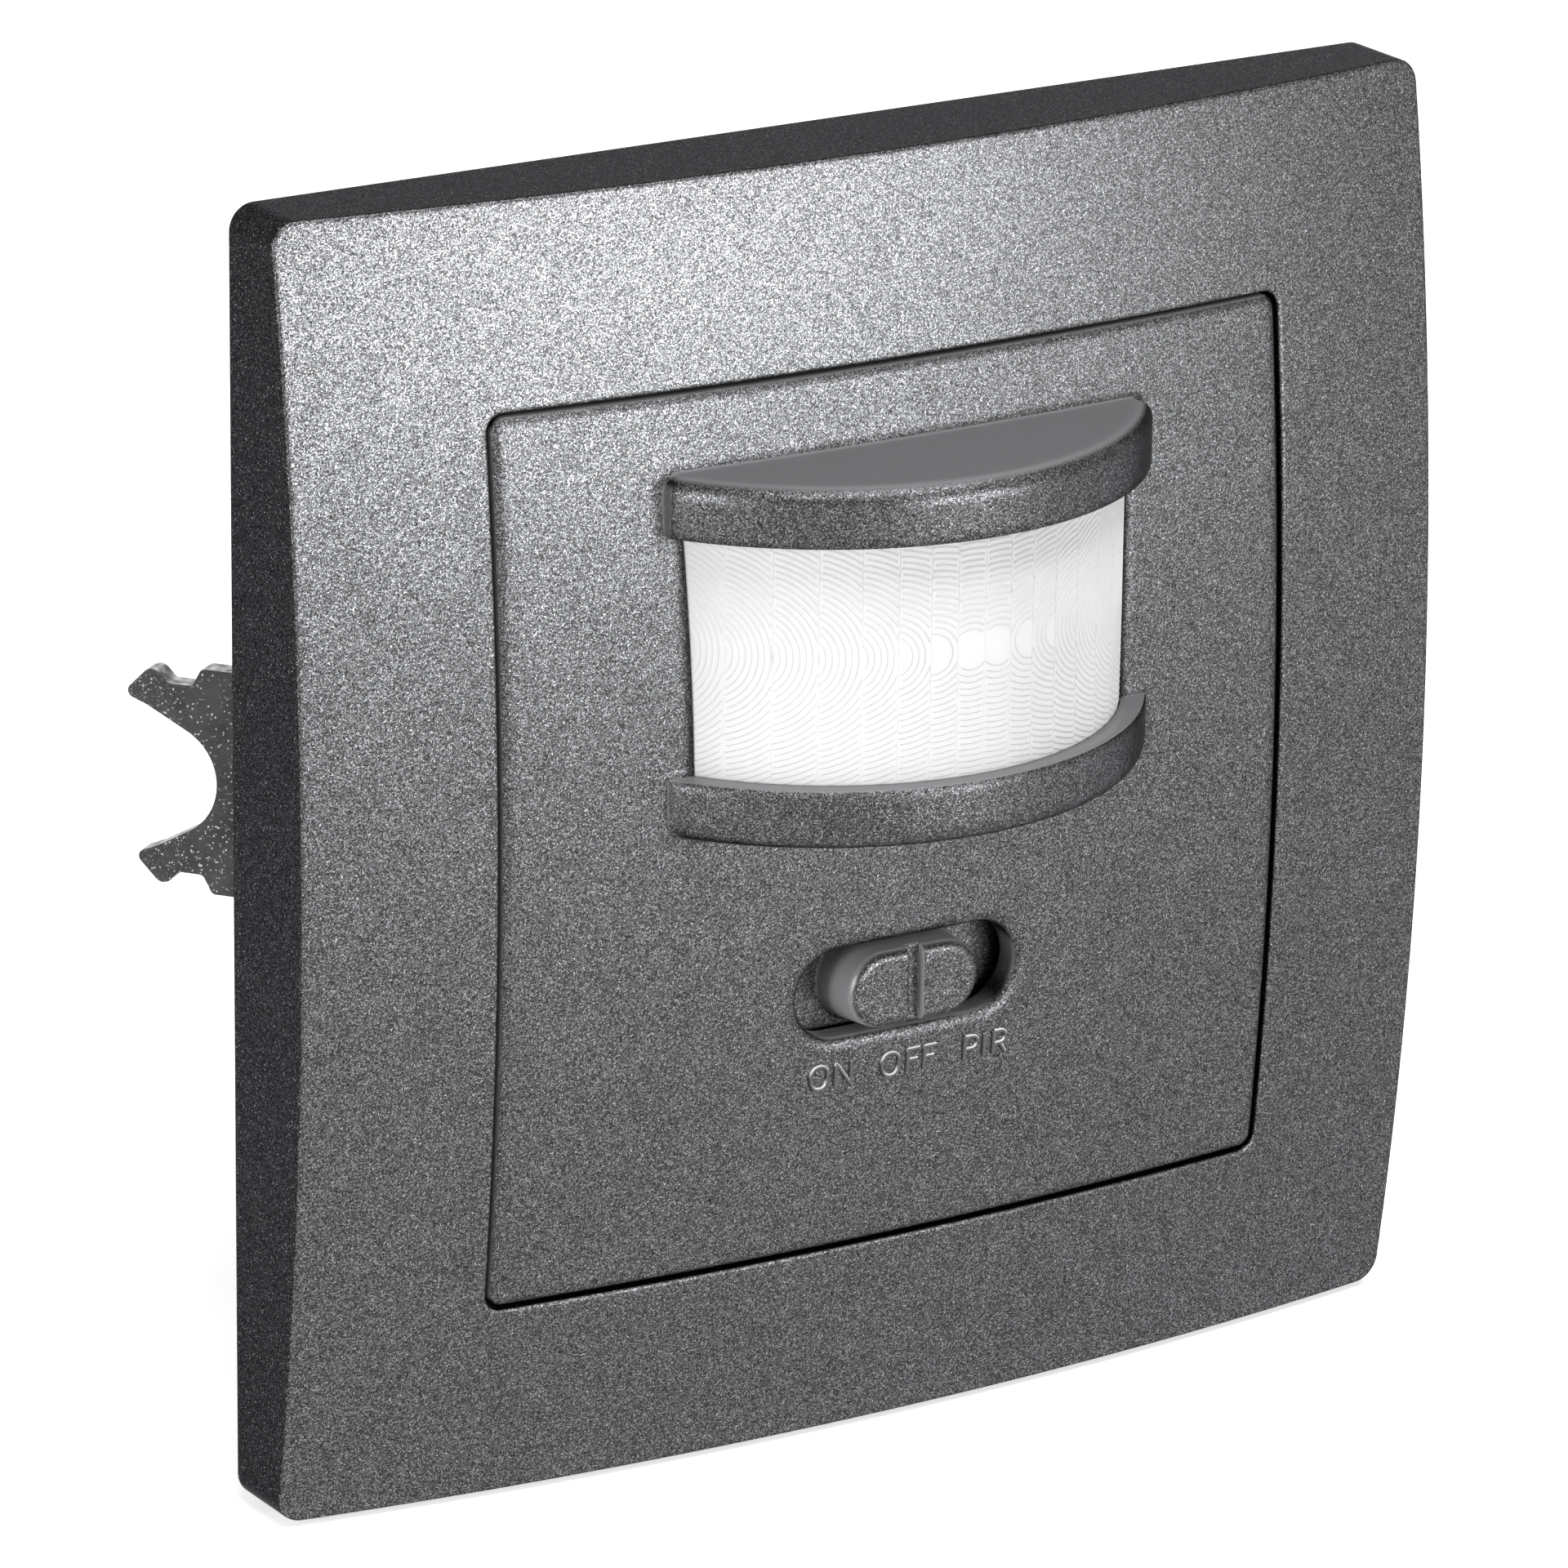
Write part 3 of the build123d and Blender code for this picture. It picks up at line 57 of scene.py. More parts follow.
class Shade:
    """Small builder of node materials, in object coordinates."""

    def __init__(self, name):
        self.material = bpy.data.materials.new(name)
        self.material.use_nodes = True
        self.tree = self.material.node_tree
        self.tree.nodes.clear()
        out = self.tree.nodes.new("ShaderNodeOutputMaterial")
        self.bsdf = self.tree.nodes.new("ShaderNodeBsdfPrincipled")
        self.tree.links.new(self.bsdf.outputs[0], out.inputs[0])
        self.coord = self.node("ShaderNodeTexCoord", out="Object")

    def fill(self, socket, value):
        if isinstance(value, bpy.types.NodeSocket):
            self.tree.links.new(value, socket)
        else:
            socket.default_value = value

    def set(self, **values):
        for key, value in values.items():
            self.fill(self.bsdf.inputs[key.replace("_", " ")], value)

    def node(self, kind, values=None, out=0, **settings):
        node = self.tree.nodes.new(kind)
        for key, value in settings.items():
            setattr(node, key, value)
        for key, value in (values or {}).items():
            self.fill(node.inputs[key], value)
        return node.outputs[out]

    def noise(self, scale, detail=2.0, roughness=0.5, coord=None):
        values = {"Scale": scale, "Detail": detail, "Roughness": roughness}
        return self.node("ShaderNodeTexNoise", {"Vector": coord or self.coord, **values})

    def cells(self, scale, out="Color"):
        return self.node("ShaderNodeTexVoronoi", {"Vector": self.coord, "Scale": scale}, out)

    def channel(self, colour, index):
        return self.node("ShaderNodeSeparateColor", {0: colour}, index)

    def ramp(self, value, *stops):
        """Colour ramp; a stop is a place with a grey level or a colour."""
        node = self.tree.nodes.new("ShaderNodeValToRGB")
        self.tree.links.new(value, node.inputs[0])
        elements = node.color_ramp.elements
        while len(elements) < len(stops):
            elements.new(0.5)
        for element, (place, colour) in zip(elements, stops):
            element.position = place
            element.color = (*colour, 1) if isinstance(colour, tuple) else grey(colour)
        return node.outputs[0]

    def math(self, operation, a, b=0.0, c=0.0):
        return self.node("ShaderNodeMath", {0: a, 1: b, 2: c}, operation=operation)

    def vector(self, operation, a, b=(0, 0, 0), out=0):
        return self.node("ShaderNodeVectorMath", {0: a, 1: b}, out, operation=operation)

    def scaled(self, a, factor):
        return self.node("ShaderNodeVectorMath", {0: a, "Scale": factor}, operation="SCALE")

    def tinted(self, level, tint):
        """Colour of a tint at a level."""
        even = self.node("ShaderNodeCombineXYZ", {0: level, 1: level, 2: level})
        return self.vector("MULTIPLY", even, tint)

    def mix(self, factor, a, b):
        return self.node("ShaderNodeMix", {0: factor, 6: a, 7: b}, 2, data_type="RGBA")

    def bump(self, height, strength, distance):
        values = {"Height": height, "Strength": strength, "Distance": distance}
        return self.node("ShaderNodeBump", values)

    def facing(self, axis):
        """How far the surface faces along an axis: 0 for X, 1 for Y, 2 for Z."""
        normal = self.node("ShaderNodeNewGeometry", out="Normal")
        return self.node("ShaderNodeSeparateXYZ", {0: normal}, axis)


def grey(value):
    return (value, value, value, 1.0)


# Lacquer: cells for each metre, so flakes of about 0.06 mm
FLAKE_CELLS = 16000.0
FLAKE_TILT = 0.07
LACQUER_TINT = (0.069, 0.0701, 0.0721)
EDGE_SOFTNESS = {"plate": 0.9 * MM, "frame": 0.3 * MM, "knob": 0.3 * MM}


def flake_normal(s, rounding):
    """Normal that each small flake tilts its own way, softened over the edges of the moulding."""
    soft = s.node("ShaderNodeBevel", {"Radius": rounding}, samples=6)
    tilt = s.vector("SUBTRACT", s.cells(FLAKE_CELLS), (0.5, 0.5, 0.5))
    return s.vector("NORMALIZE", s.vector("ADD", soft, s.scaled(tilt, FLAKE_TILT)))


def lacquer(name, finish):
    """Anthracite lacquer with metal flakes and painted glints; on some faces of a finish, painted
    shade makes them darker, or painted light makes them lighter and plainer.
    """
    s = Shade(name)
    flakes = s.cells(FLAKE_CELLS)
    tone = s.ramp(
        s.channel(flakes, 0), (0.0, 0.05), (0.16, 0.11), (0.5, 0.22), (0.84, 0.5), (1.0, 1.0)
    )
    level = s.math("MULTIPLY", tone, s.math("MULTIPLY_ADD", s.noise(500.0), 0.6, 2.9))
    if finish == "frame":
        # Painted shade: the frame's side walls, which face away from the front, get a darker
        # colour
        front = s.ramp(s.math("ABSOLUTE", s.facing(1)), (0.35, 0.36), (0.75, 1.0))
        level = s.math("MULTIPLY", level, front)
    # Painted glints: sparse flakes get a much lighter colour that does not follow the lamps
    painted_glint = s.channel(flakes, 2)
    bright = s.math("MULTIPLY", s.ramp(painted_glint, (0.975, 0.0), (0.995, 1.0)), 2.5)
    level = s.math("ADD", level, s.ramp(painted_glint, (0.95, 0.0), (0.985, 1.0)))
    base = s.tinted(s.math("ADD", level, bright), LACQUER_TINT)
    rough = s.ramp(s.channel(flakes, 1), (0.0, 0.36), (0.9, 0.345), (0.97, 0.28))
    s.set(Metallic=1.0, Roughness=rough, Specular_Tint=(0.5, 0.5, 0.51, 1.0))
    s.set(Normal=flake_normal(s, EDGE_SOFTNESS[finish]))
    if finish == "plate":
        # Painted light: the hood's upper faces and its ends get a lighter, plainer grey and are
        # barely metallic
        smooth_with_painted_light = s.ramp(s.facing(2), (0.75, 0.0), (0.93, 1.0))
        base = s.mix(smooth_with_painted_light, base, (0.18, 0.182, 0.187, 1.0))
        ends_with_painted_light = s.ramp(s.math("ABSOLUTE", s.facing(0)), (0.8, 0.0), (0.95, 0.75))
        base = s.mix(ends_with_painted_light, base, (0.16, 0.163, 0.168, 1.0))
        s.set(Metallic=s.math("MULTIPLY_ADD", s.math("MAXIMUM", smooth_with_painted_light, ends_with_painted_light), -0.85, 1.0))
    if finish == "knob":
        # Painted light: the knob's sides get a lighter, plainer grey and are barely metallic; its
        # front carries flakes
        smooth_with_painted_light = s.ramp(s.math("ABSOLUTE", s.facing(1)), (0.35, 1.0), (0.75, 0.0))
        base = s.mix(smooth_with_painted_light, base, (0.3, 0.303, 0.31, 1.0))
        s.set(Metallic=s.math("MULTIPLY_ADD", smooth_with_painted_light, -0.8, 1.0))
    s.set(Base_Color=base)
    return s.material


def lettering_lacquer():
    """Lacquer of the raised letters, with painted light and shade: lighter where they face up,
    darker where they face down.
    """
    s = Shade("lettering_lacquer")
    # Painted light and shade: the tone follows how far each face turns up or down
    height = s.math("MULTIPLY_ADD", s.facing(2), 0.5, 0.5)
    tone = s.ramp(height, (0.3, 0.012), (0.47, 0.05), (0.53, 0.085), (0.66, 0.75))
    grain = s.math("MULTIPLY_ADD", s.noise(9000.0), 0.5, 0.75)
    base = s.tinted(s.math("MULTIPLY", tone, grain), (1.0, 1.0, 1.0))
    s.set(Base_Color=base, Metallic=0.2, Roughness=0.4)
    return s.material


# Each claw's hinge, and how far from it the knurled tips begin, in millimetres
CLAW_SIDE = {"left_claw": -1, "right_claw": 1}
HINGE_X, HINGE_Y = 23.6, 2.4
KNURL_FROM, KNURL_FADE = 19.5, 0.15


def claw_zinc(name, sheet, hinge):
    """Dark zinc plate: bright specks and scratches, light cut edges, knurled tips."""
    s = Shade(name)
    normal = s.node("ShaderNodeNewGeometry", out="Normal")
    turned = s.node("ShaderNodeVectorTransform", {0: normal}, vector_type="NORMAL",
                    convert_from="WORLD", convert_to="OBJECT")
    flat = s.math("ABSOLUTE", s.vector("DOT_PRODUCT", turned, sheet, out=1))
    edge = s.ramp(flat, (0.55, 1.0), (0.75, 0.0))
    spots = s.ramp(s.channel(s.cells(10000.0), 0), (0.94, 0.0), (0.98, 0.6))
    stretched = s.vector("MULTIPLY", s.coord, (1.0, 1.0, 5.0))
    scratch = s.ramp(s.noise(1300.0, 5.0, 0.7, stretched), (0.62, 0.0), (0.7, 0.35))
    away = s.vector("MULTIPLY", s.vector("SUBTRACT", s.coord, hinge), (1.0, 1.0, 0.0))
    knurl_start = (KNURL_FROM * MM, 0.0)
    knurl_full = ((KNURL_FROM + KNURL_FADE) * MM, 1.0)
    tip = s.ramp(s.vector("LENGTH", away, out=1), knurl_start, knurl_full)
    knurl = s.math("MULTIPLY", tip, s.ramp(s.cells(5200.0, "Distance"), (0.12, 0.8), (0.38, 0.0)))
    light = s.math("MAXIMUM", s.math("MAXIMUM", spots, scratch), s.math("MULTIPLY", knurl, 0.9))
    dark = s.ramp(s.noise(420.0, 4.0), (0.3, 0.022), (0.7, 0.048))
    cut = s.ramp(s.noise(1500.0, 4.0), (0.35, 0.16), (0.65, 0.62))
    tone = s.mix(edge, s.mix(light, dark, (0.5, 0.5, 0.505, 1.0)), cut)
    relief = s.bump(s.math("MAXIMUM", knurl, spots), 0.5, 0.05 * MM)
    s.set(Base_Color=tone, Metallic=0.85, Roughness=0.42, Normal=relief)
    return s.material


def plastic(name, colour, roughness):
    """Moulded plastic, a little mottled, with a fine grain."""
    s = Shade(name)
    dark = tuple(c * 0.9 for c in colour)
    light = tuple(min(1.0, c * 1.06) for c in colour)
    base = s.ramp(s.noise(180.0, 3.0), (0.35, dark), (0.65, light))
    rough = s.ramp(s.noise(700.0), (0.3, roughness * 0.9), (0.7, roughness * 1.1))
    grain = s.bump(s.noise(3000.0, 3.0), 0.25, 0.02 * MM)
    s.set(Base_Color=base, Roughness=rough, Normal=grain)
    return s.material


def steel(name, colour, roughness):
    """Bare or plated metal: blotches, streaks along Z and small pits."""
    s = Shade(name)
    stretched = s.vector("MULTIPLY", s.coord, (1.0, 1.0, 9.0))
    streak = s.noise(900.0, 4.0, 0.65, stretched)
    blotch = s.ramp(s.noise(260.0, 4.0, 0.6), (0.35, 0.0), (0.7, 1.0))
    dark = tuple(c * 0.62 for c in colour)
    tone = s.mix(blotch, (*dark, 1), (*colour, 1))
    rough = s.ramp(streak, (0.25, roughness * 0.7), (0.75, roughness * 1.35))
    pits = s.ramp(s.noise(2600.0, 3.0), (0.42, 0.0), (0.6, 1.0))
    s.set(Base_Color=tone, Metallic=1.0, Roughness=rough, Normal=s.bump(pits, 0.25, 0.03 * MM))
    return s.material


LENS_SPREAD = 26.0 * MM


def lens_plastic():
    """Milky plastic, light inside, with painted shade that makes it darker towards one end."""
    s = Shade("lens_milky")
    across = s.node("ShaderNodeSeparateXYZ", {0: s.coord}, 0)
    place = s.math("MULTIPLY_ADD", across, 1.0 / LENS_SPREAD, 0.5)
    # Painted shade: the milky tone falls off from one end to the other
    milk_with_painted_shade = s.ramp(place, (0.0, 0.72), (0.3, 0.58), (0.6, 0.5), (1.0, 0.52))
    level = s.math("MULTIPLY", milk_with_painted_shade, s.math("MULTIPLY_ADD", s.noise(260.0), 0.06, 0.97))
    s.set(Base_Color=s.tinted(level, (0.997, 1.0, 1.004)), Roughness=0.48, Specular_IOR_Level=0.2)
    s.set(Subsurface_Weight=0.3, Subsurface_Scale=1.5 * MM, Subsurface_Radius=(1.0, 1.0, 1.0))
    s.set(Normal=s.bump(s.noise(500.0), 0.05, 0.02 * MM))
    return s.material


def board_green():
    """Solder mask over tracks."""
    s = Shade("solder_mask")
    tracks = s.cells(420.0, "Distance")
    base = s.ramp(
        tracks, (0.25, (0.02, 0.16, 0.06)), (0.45, (0.035, 0.23, 0.09)), (0.7, (0.02, 0.15, 0.055))
    )
    s.set(Base_Color=base, Roughness=0.32, Normal=s.bump(tracks, 0.2, 0.03 * MM))
    return s.material


LENS = lens_plastic()
LETTERING = lettering_lacquer()
BY_SLOT = {
    "anthracite_paint": lacquer("anthracite_lacquer", "plate"),
    "lens_plastic": LENS,
    "black_plastic": plastic("black_moulding", (0.028, 0.028, 0.03), 0.5),
    "grey_plastic": plastic("grey_moulding", (0.33, 0.34, 0.35), 0.5),
    "light_plastic": plastic("light_moulding", (0.68, 0.69, 0.68), 0.42),
    "white_plastic": plastic("white_moulding", (0.8, 0.8, 0.78), 0.4),
    "blue_plastic": plastic("blue_moulding", (0.03, 0.1, 0.38), 0.35),
    "yellow_plastic": plastic("yellow_moulding", (0.75, 0.52, 0.05), 0.35),
    "red_plastic": plastic("red_moulding", (0.42, 0.05, 0.03), 0.35),
    "circuit_board": board_green(),
    "filter_window": plastic("dark_filter", (0.05, 0.045, 0.06), 0.08),
    "bright_steel": steel("tinned_steel", (0.72, 0.71, 0.69), 0.25),
    "zinc_steel": steel("zinc_plate", (0.52, 0.53, 0.54), 0.36),
    "gilt_pins": steel("gilt_brass", (0.83, 0.62, 0.28), 0.25),
    "brass_clamp": steel("bare_brass", (0.72, 0.55, 0.27), 0.32),
}
BY_NODE = {
    "cover_frame": lacquer("anthracite_frame", "frame"),
    "slider_knob": lacquer("anthracite_knob", "knob"),
}
for entry in frame["record"]["subparts"]:
    name = entry["node"]
    mesh = frame["nodes"][name].data
    material = BY_NODE.get(name, BY_SLOT[entry["material_slot"]])
    if name in CLAW_SIDE:
        sheet = max(mesh.polygons, key=lambda face: face.area).normal
        hinge = (CLAW_SIDE[name] * HINGE_X * MM, HINGE_Y * MM, 0.0)
        material = claw_zinc(name + "_zinc", tuple(sheet), hinge)
    mesh.materials.clear()
    mesh.materials.append(material)


def mesh_object(name, verts, faces, material, body):
    """New piece from points in millimetres."""
    mesh = bpy.data.meshes.new(name)
    mesh.from_pydata([(x * MM, y * MM, z * MM) for x, y, z in verts], [], faces)
    mesh.validate()
    mesh.materials.append(material)
    piece = bpy.data.objects.new(name, mesh)
    bpy.context.scene.collection.objects.link(piece)
    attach(piece, body)


# Raised position marks under the slider: ON, OFF and PIR, in millimetres
MARK_LOW, MARK_TOP = -16.8, -15.32
MARK_BAR = (MARK_LOW + MARK_TOP) / 2 + 0.06  # bar of the F
MARK_WAIST = MARK_BAR - 0.12  # foot of the loops of P and R
STROKE, STROKE_SIDES, STROKE_STEP = 0.125, 12, 0.12
RELIEF, SUNK = 0.17, 0.02
FLAT_TOP = 0.62  # share of the round section that is kept

# Dome of the frame and the plate, as in the CAD model
CROWN = 11.47
DROP = 3.3
DOME_RADIUS = (40.0**2 + DROP**2) / (2 * DROP)


def dome_level(x, z):
    """Distance of the domed front from the wall plane."""
    return CROWN - DOME_RADIUS + math.sqrt(DOME_RADIUS**2 - x * x - z * z)


def loop(x, width, steps=12):
    """Right-hand half loop of P and R."""
    radius = (MARK_TOP - MARK_WAIST) / 2
    straight = x + width - radius
    points = [(x, MARK_TOP), (straight, MARK_TOP)]
    for i in range(1, steps):
        turn = math.pi * (0.5 - i / steps)
        points.append((straight + radius * math.cos(turn),
                       (MARK_TOP + MARK_WAIST) / 2 + radius * math.sin(turn)))
    return points + [(straight, MARK_WAIST), (x, MARK_WAIST)]


def ring(x0, x1, steps=36):
    """Tall rounded O between two sides."""
    points = []
    for i in range(steps):
        turn = 2 * math.pi * i / steps
        wide, tall = math.cos(turn), math.sin(turn)
        wide, tall = (math.copysign(abs(share) ** 0.85, share) for share in (wide, tall))
        points.append(((x0 + x1) / 2 + (x1 - x0) / 2 * wide,
                       (MARK_LOW + MARK_TOP) / 2 + (MARK_TOP - MARK_LOW) / 2 * tall))
    return points


def letter_strokes():
    """Outlines of the letters as points, each with whether it closes."""
    yield ring(-6.68, -5.5), True
    yield [(-4.93, MARK_LOW), (-4.93, MARK_TOP), (-3.86, MARK_LOW), (-3.86, MARK_TOP)], False
    yield ring(-1.66, -0.46), True
    for x in (0.17, 1.36):
        yield [(x + 0.8, MARK_TOP), (x, MARK_TOP), (x, MARK_LOW)], False
        yield [(x, MARK_BAR), (x + 0.68, MARK_BAR)], False
    yield [(4.29, MARK_LOW), (4.29, MARK_TOP)], False
    yield loop(4.29, 0.92), False
    yield [(5.72, MARK_LOW), (5.72, MARK_TOP)], False
    yield [(6.41, MARK_LOW), (6.41, MARK_TOP)], False
    yield loop(6.41, 0.86), False
    yield [(6.85, MARK_WAIST), (7.28, MARK_LOW)], False


def sweep(verts, faces, path, closed):
    """Stroke along a path: half of a round section with a flat top, sunk into the front."""
    start = len(verts)
    count = len(path)
    front = Vector((0, -1, 0))
    for i, point in enumerate(path):
        before = path[i - 1] if (i > 0 or closed) else path[i]
        after = path[(i + 1) % count] if (i < count - 1 or closed) else path[i]
        side = (Vector(after) - Vector(before)).normalized().cross(front).normalized()
        for k in range(STROKE_SIDES):
            turn = 2 * math.pi * k / STROKE_SIDES
            lift = min(math.sin(turn), FLAT_TOP) / FLAT_TOP
            across = side * (STROKE * math.cos(turn))
            verts.append(tuple(Vector(point) + across + front * (RELIEF * lift)))
    for i in range(count if closed else count - 1):
        a = start + i * STROKE_SIDES
        b = start + ((i + 1) % count) * STROKE_SIDES
        for k in range(STROKE_SIDES):
            n = (k + 1) % STROKE_SIDES
            faces.append((a + k, b + k, b + n, a + n))
    if not closed:
        last = start + (count - 1) * STROKE_SIDES
        faces.append(tuple(start + k for k in range(STROKE_SIDES)))
        faces.append(tuple(last + k for k in reversed(range(STROKE_SIDES))))


def position_marks():
    verts, faces = [], []
    for outline, closed in letter_strokes():
        path = []
        for i in range(len(outline) if closed else len(outline) - 1):
            (xa, za), (xb, zb) = outline[i], outline[(i + 1) % len(outline)]
            parts = 1 if closed else max(1, int(math.hypot(xb - xa, zb - za) / STROKE_STEP))
            for k in range(parts):
                path.append((xa + (xb - xa) * k / parts, za + (zb - za) * k / parts))
        if not closed:
            path.append(outline[-1])
        sweep(verts, faces, [(x, SUNK - dome_level(x, z), z) for x, z in path], closed)
    mesh_object("position_marks", verts, faces, LETTERING, "switch")


position_marks()

# Rings of the lens: each upright facet has fine ridges about a centre of its own.
# Lengths are in millimetres; facet edges and centres are in degrees from the middle.
LENS_RADIUS, LENS_AXIS = 18.1, 0.8
DEGREES_PER_MM = math.degrees(1 / LENS_RADIUS)
RING_MIDDLE = 12.3
RING_LOW, RING_TOP = 4.5, 19.5
FACET_EDGES = (0.0, 5.8, 11.3, 17.6, 24.5, 32.6, 41.2, 50.5, 66.5)
FACET_CENTRES = (3.0, 10.9, 18.9, 27.4, 36.5, 45.0, 54.0, 64.0)
FACET_MARGIN = 0.06
FIRST_RING, LAST_RING, RING_STEP = 1.3, 16.0, 0.22
RIDGE_HALF, RIDGE_HEIGHT = 0.12, 0.05
SEAM_HALF, SEAM_HEIGHT, SEAM_STEPS = 0.05, 0.016, 40
RIDGE_SUNK = -0.03


def on_lens(turn, z, lift):
    """Point over the lens front at an angle in degrees from the middle."""
    a = math.radians(turn)
    r = LENS_RADIUS + lift
    return (r * math.sin(a), -LENS_AXIS - r * math.cos(a), z)


def ridge(verts, faces, run, half, height):
    """Ridge of triangular section along points on the lens; it is highest at the top right."""
    start = len(verts)
    for i, (turn, z) in enumerate(run):
        a, b = run[max(i - 1, 0)], run[min(i + 1, len(run) - 1)]
        along = Vector(((b[0] - a[0]) / DEGREES_PER_MM, b[1] - a[1])).normalized()
        side_turn = -along.y * half * DEGREES_PER_MM
        side_z = along.x * half
        strong = min(1.0, max(0.0, (z - 13.0) / 3.0) + max(0.0, (turn - 6.0) / 14.0))
        crest = height * (0.25 + 0.75 * strong)
        verts.append(on_lens(turn - side_turn, z - side_z, RIDGE_SUNK))
        verts.append(on_lens(turn + side_turn * 0.6, z + side_z * 0.6, crest))
        verts.append(on_lens(turn + side_turn, z + side_z, RIDGE_SUNK))
    for i in range(len(run) - 1):
        a = start + 3 * i
        for k in range(3):
            n = (k + 1) % 3
            faces.append((a + k, a + n, a + 3 + n, a + 3 + k))
    last = start + 3 * (len(run) - 1)
    faces.append((start, start + 2, start + 1))
    faces.append((last, last + 1, last + 2))


def ring_runs(centre, low, high, radius):
    """Runs of a ring that lie inside its facet, as angle and height."""
    steps = max(24, int(2 * math.pi * radius / RING_STEP))
    run = []
    for i in range(steps + 1):
        turn = 2 * math.pi * i / steps + 0.013
        angle = centre + radius * math.cos(turn) * DEGREES_PER_MM
        z = RING_MIDDLE + radius * math.sin(turn)
        inside = low + FACET_MARGIN < angle < high - FACET_MARGIN and RING_LOW < z < RING_TOP
        if inside:
            run.append((angle, z))
        if not inside or i == steps:
            if len(run) > 2:
                yield run
            run = []


def lens_rings():
    verts, faces = [], []
    for side in (-1, 1):
        for k, centre in enumerate(FACET_CENTRES):
            radius = FIRST_RING
            while radius < LAST_RING:
                for run in ring_runs(centre, FACET_EDGES[k], FACET_EDGES[k + 1], radius):
                    placed = [(side * angle, z) for angle, z in run][::side]
                    ridge(verts, faces, placed, RIDGE_HALF, RIDGE_HEIGHT)
                radius += 0.4 - 0.006 * radius
    seam = [RING_LOW + (RING_TOP - RING_LOW) * i / SEAM_STEPS for i in range(SEAM_STEPS + 1)]
    for edge in FACET_EDGES[:-1]:
        for side in (-1, 1) if edge else (1,):
            ridge(verts, faces, [(side * edge, z) for z in seam], SEAM_HALF, SEAM_HEIGHT)
    mesh_object("lens_rings", verts, faces, LENS, "switch")


lens_rings()

# Camera, at the photograph's viewing angle: radians, pixels and millimetres
AZIMUTH, ELEVATION, ROLL = -0.5629, 0.3215, 0.0121
IMAGE_WIDTH, FOCAL_LENGTH = 1920.0, 11599.56
AIM, DISTANCE = (-1.9442, 0.0, -1.2902), 574.49
SENSOR_WIDTH = 36.0
back = Vector((math.sin(AZIMUTH) * math.cos(ELEVATION),
               -math.cos(AZIMUTH) * math.cos(ELEVATION),
               math.sin(ELEVATION)))
level_right = Vector((math.cos(AZIMUTH), math.sin(AZIMUTH), 0.0))
right = math.cos(ROLL) * level_right + math.sin(ROLL) * back.cross(level_right)
up = back.cross(right)
camera_data = bpy.data.cameras.new("camera")
camera_data.sensor_width = SENSOR_WIDTH
camera_data.lens = FOCAL_LENGTH * SENSOR_WIDTH / IMAGE_WIDTH
camera_data.clip_start = 0.02
camera_data.clip_end = 20.0
camera = bpy.data.objects.new("camera", camera_data)
place = (Vector(AIM) + back * DISTANCE) * MM
turned = Matrix((right, up, back)).transposed().to_4x4()
camera.matrix_world = Matrix.Translation(place) @ turned
bpy.context.scene.collection.objects.link(camera)
bpy.context.scene.camera = camera

# Studio: white world and floor, a key lamp in front on the right, a long lamp above, and a
# tall one on the left
WORLD_LIGHT = 0.15
FLOOR_GLOW = 0.62
FLOOR_REACH = 6.0
FLOOR_GAP = 0.4 * MM
LAMP_DISTANCE = 1.2
LAMPS = {
    # direction, width and height in metres, power in watts
    "key": ((0.358, -0.931, 0.064), 0.7, 0.24, 12.0),
    "top": ((0.05, -0.4, 0.9), 1.2, 0.22, 13.0),
    "left": ((-0.93, -0.36, 0.16), 0.22, 0.7, 8.5),
}


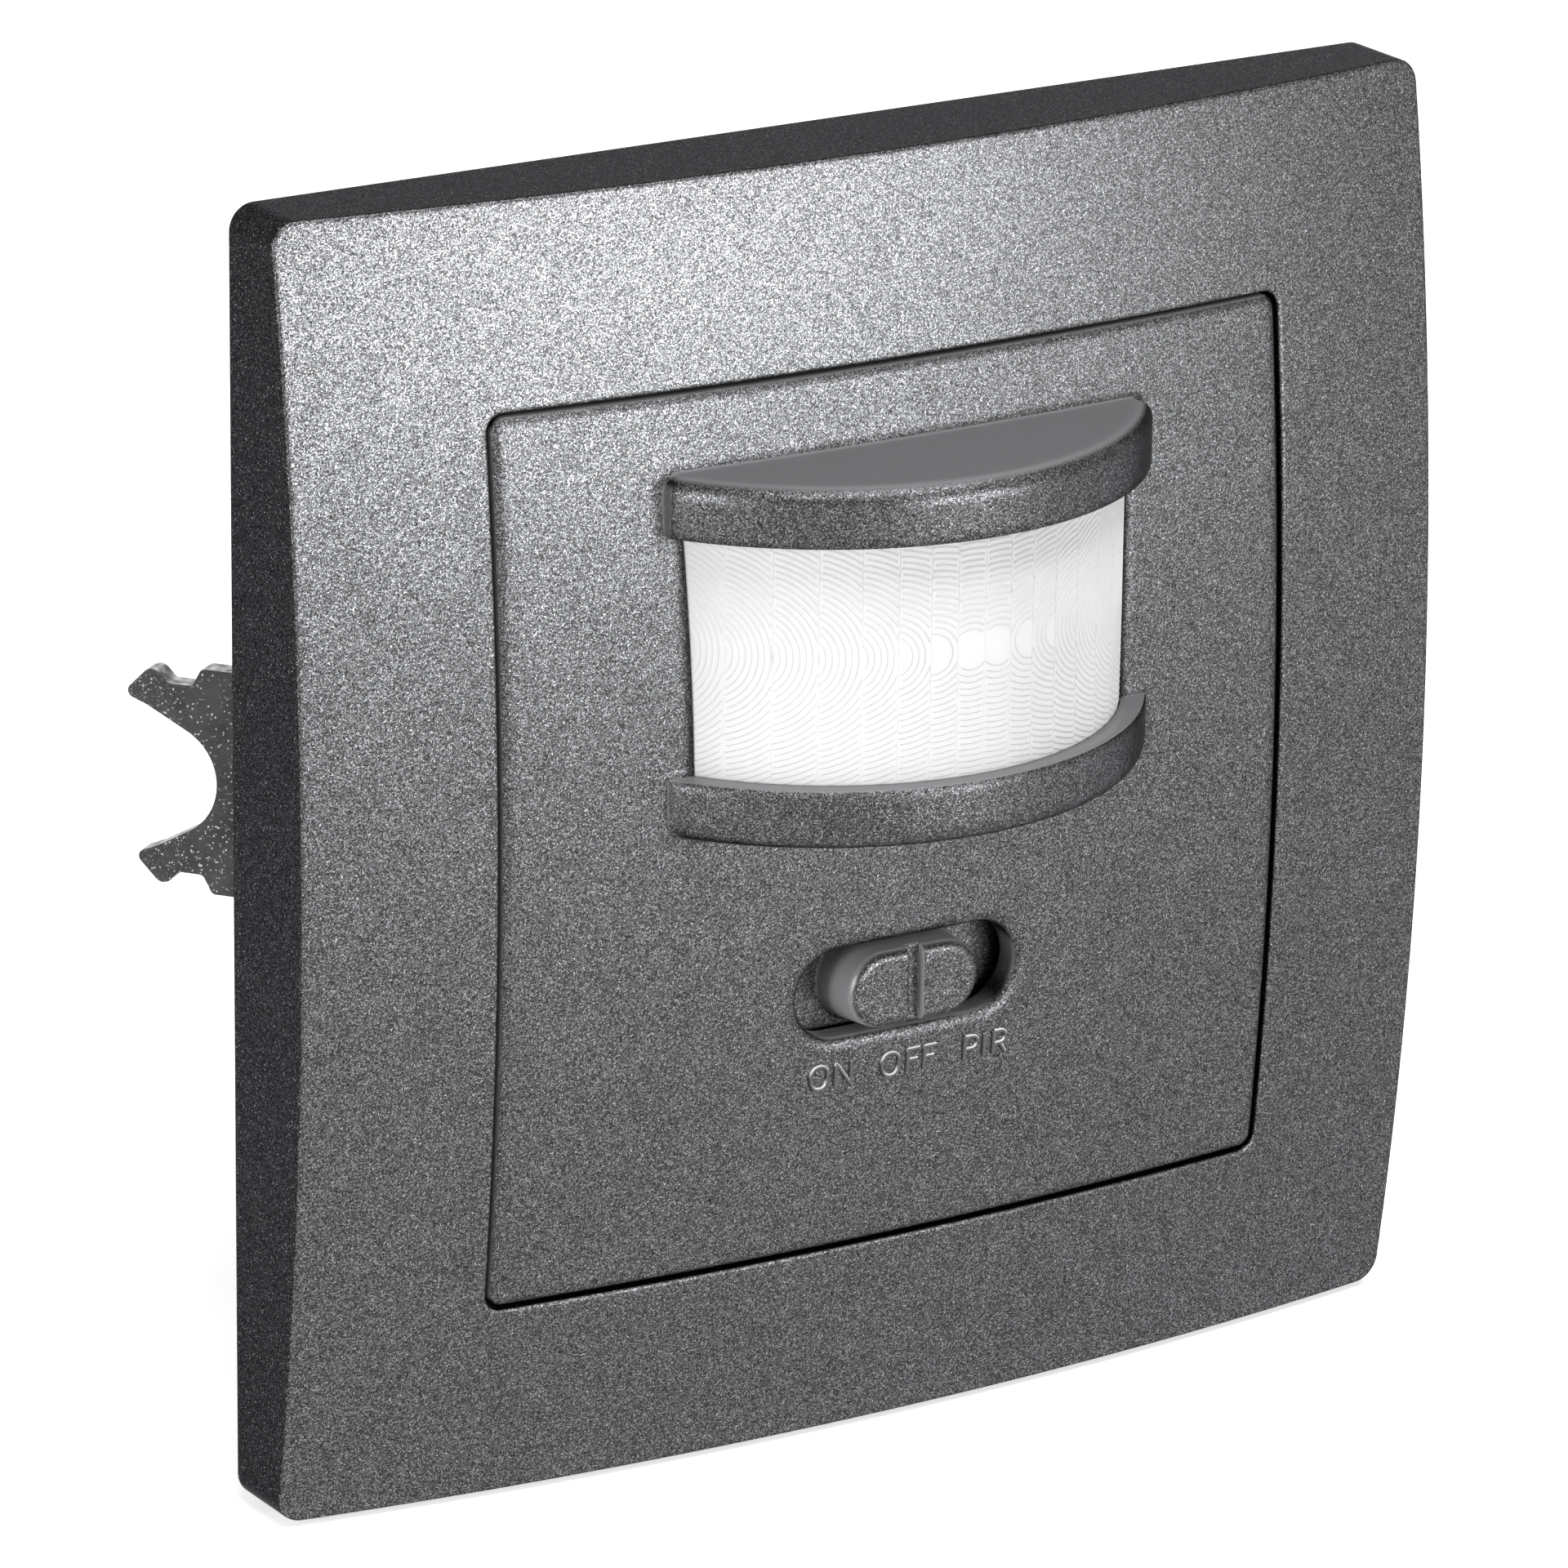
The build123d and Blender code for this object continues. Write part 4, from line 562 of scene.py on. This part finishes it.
def seen_by(tree):
    """One where a ray comes from the camera, a gloss or a clear solid, and else nought."""
    path = tree.nodes.new("ShaderNodeLightPath")
    seen = path.outputs["Is Camera Ray"]
    for kind in ("Is Glossy Ray", "Is Transmission Ray"):
        either = tree.nodes.new("ShaderNodeMath")
        either.operation = "MAXIMUM"
        tree.links.new(seen, either.inputs[0])
        tree.links.new(path.outputs[kind], either.inputs[1])
        seen = either.outputs[0]
    return seen


world = bpy.data.worlds.new("studio")
bpy.context.scene.world = world
world.use_nodes = True
tree = world.node_tree
tree.nodes.clear()
mixer = tree.nodes.new("ShaderNodeMixShader")
tree.links.new(seen_by(tree), mixer.inputs[0])
for socket, strength in ((1, WORLD_LIGHT), (2, 1.0)):
    background = tree.nodes.new("ShaderNodeBackground")
    background.inputs["Color"].default_value = grey(1.0)
    background.inputs["Strength"].default_value = strength
    tree.links.new(background.outputs[0], mixer.inputs[socket])
world_out = tree.nodes.new("ShaderNodeOutputWorld")
tree.links.new(mixer.outputs[0], world_out.inputs[0])

floor_mesh = bpy.data.meshes.new("floor")
corners = [(x * FLOOR_REACH, y * FLOOR_REACH, 0) for x, y in ((-1, -1), (1, -1), (1, 1), (-1, 1))]
floor_mesh.from_pydata(corners, [], [(0, 1, 2, 3)])
floor = bpy.data.objects.new("floor", floor_mesh)
floor.location = (0, 0, cad_low.z - FLOOR_GAP)
bpy.context.scene.collection.objects.link(floor)
floor_shade = Shade("pale_floor")
floor_tone = floor_shade.ramp(floor_shade.noise(3.0), (0.3, 0.93), (0.7, 0.95))
floor_glow = floor_shade.math("MULTIPLY", seen_by(floor_shade.tree), FLOOR_GLOW)
floor_shade.set(Base_Color=floor_tone, Roughness=0.9)
floor_shade.set(Emission_Color=grey(1.0), Emission_Strength=floor_glow)
floor_mesh.materials.append(floor_shade.material)

for name, (direction, width, height, power) in LAMPS.items():
    data = bpy.data.lights.new(name, "AREA")
    data.shape = "RECTANGLE"
    data.size = width
    data.size_y = height
    data.energy = power
    lamp = bpy.data.objects.new(name, data)
    way = Vector(direction).normalized()
    lamp.location = way * LAMP_DISTANCE
    lamp.rotation_euler = way.to_track_quat("Z", "Y").to_euler()
    bpy.context.scene.collection.objects.link(lamp)

bpy.context.scene.view_settings.view_transform = "Standard"
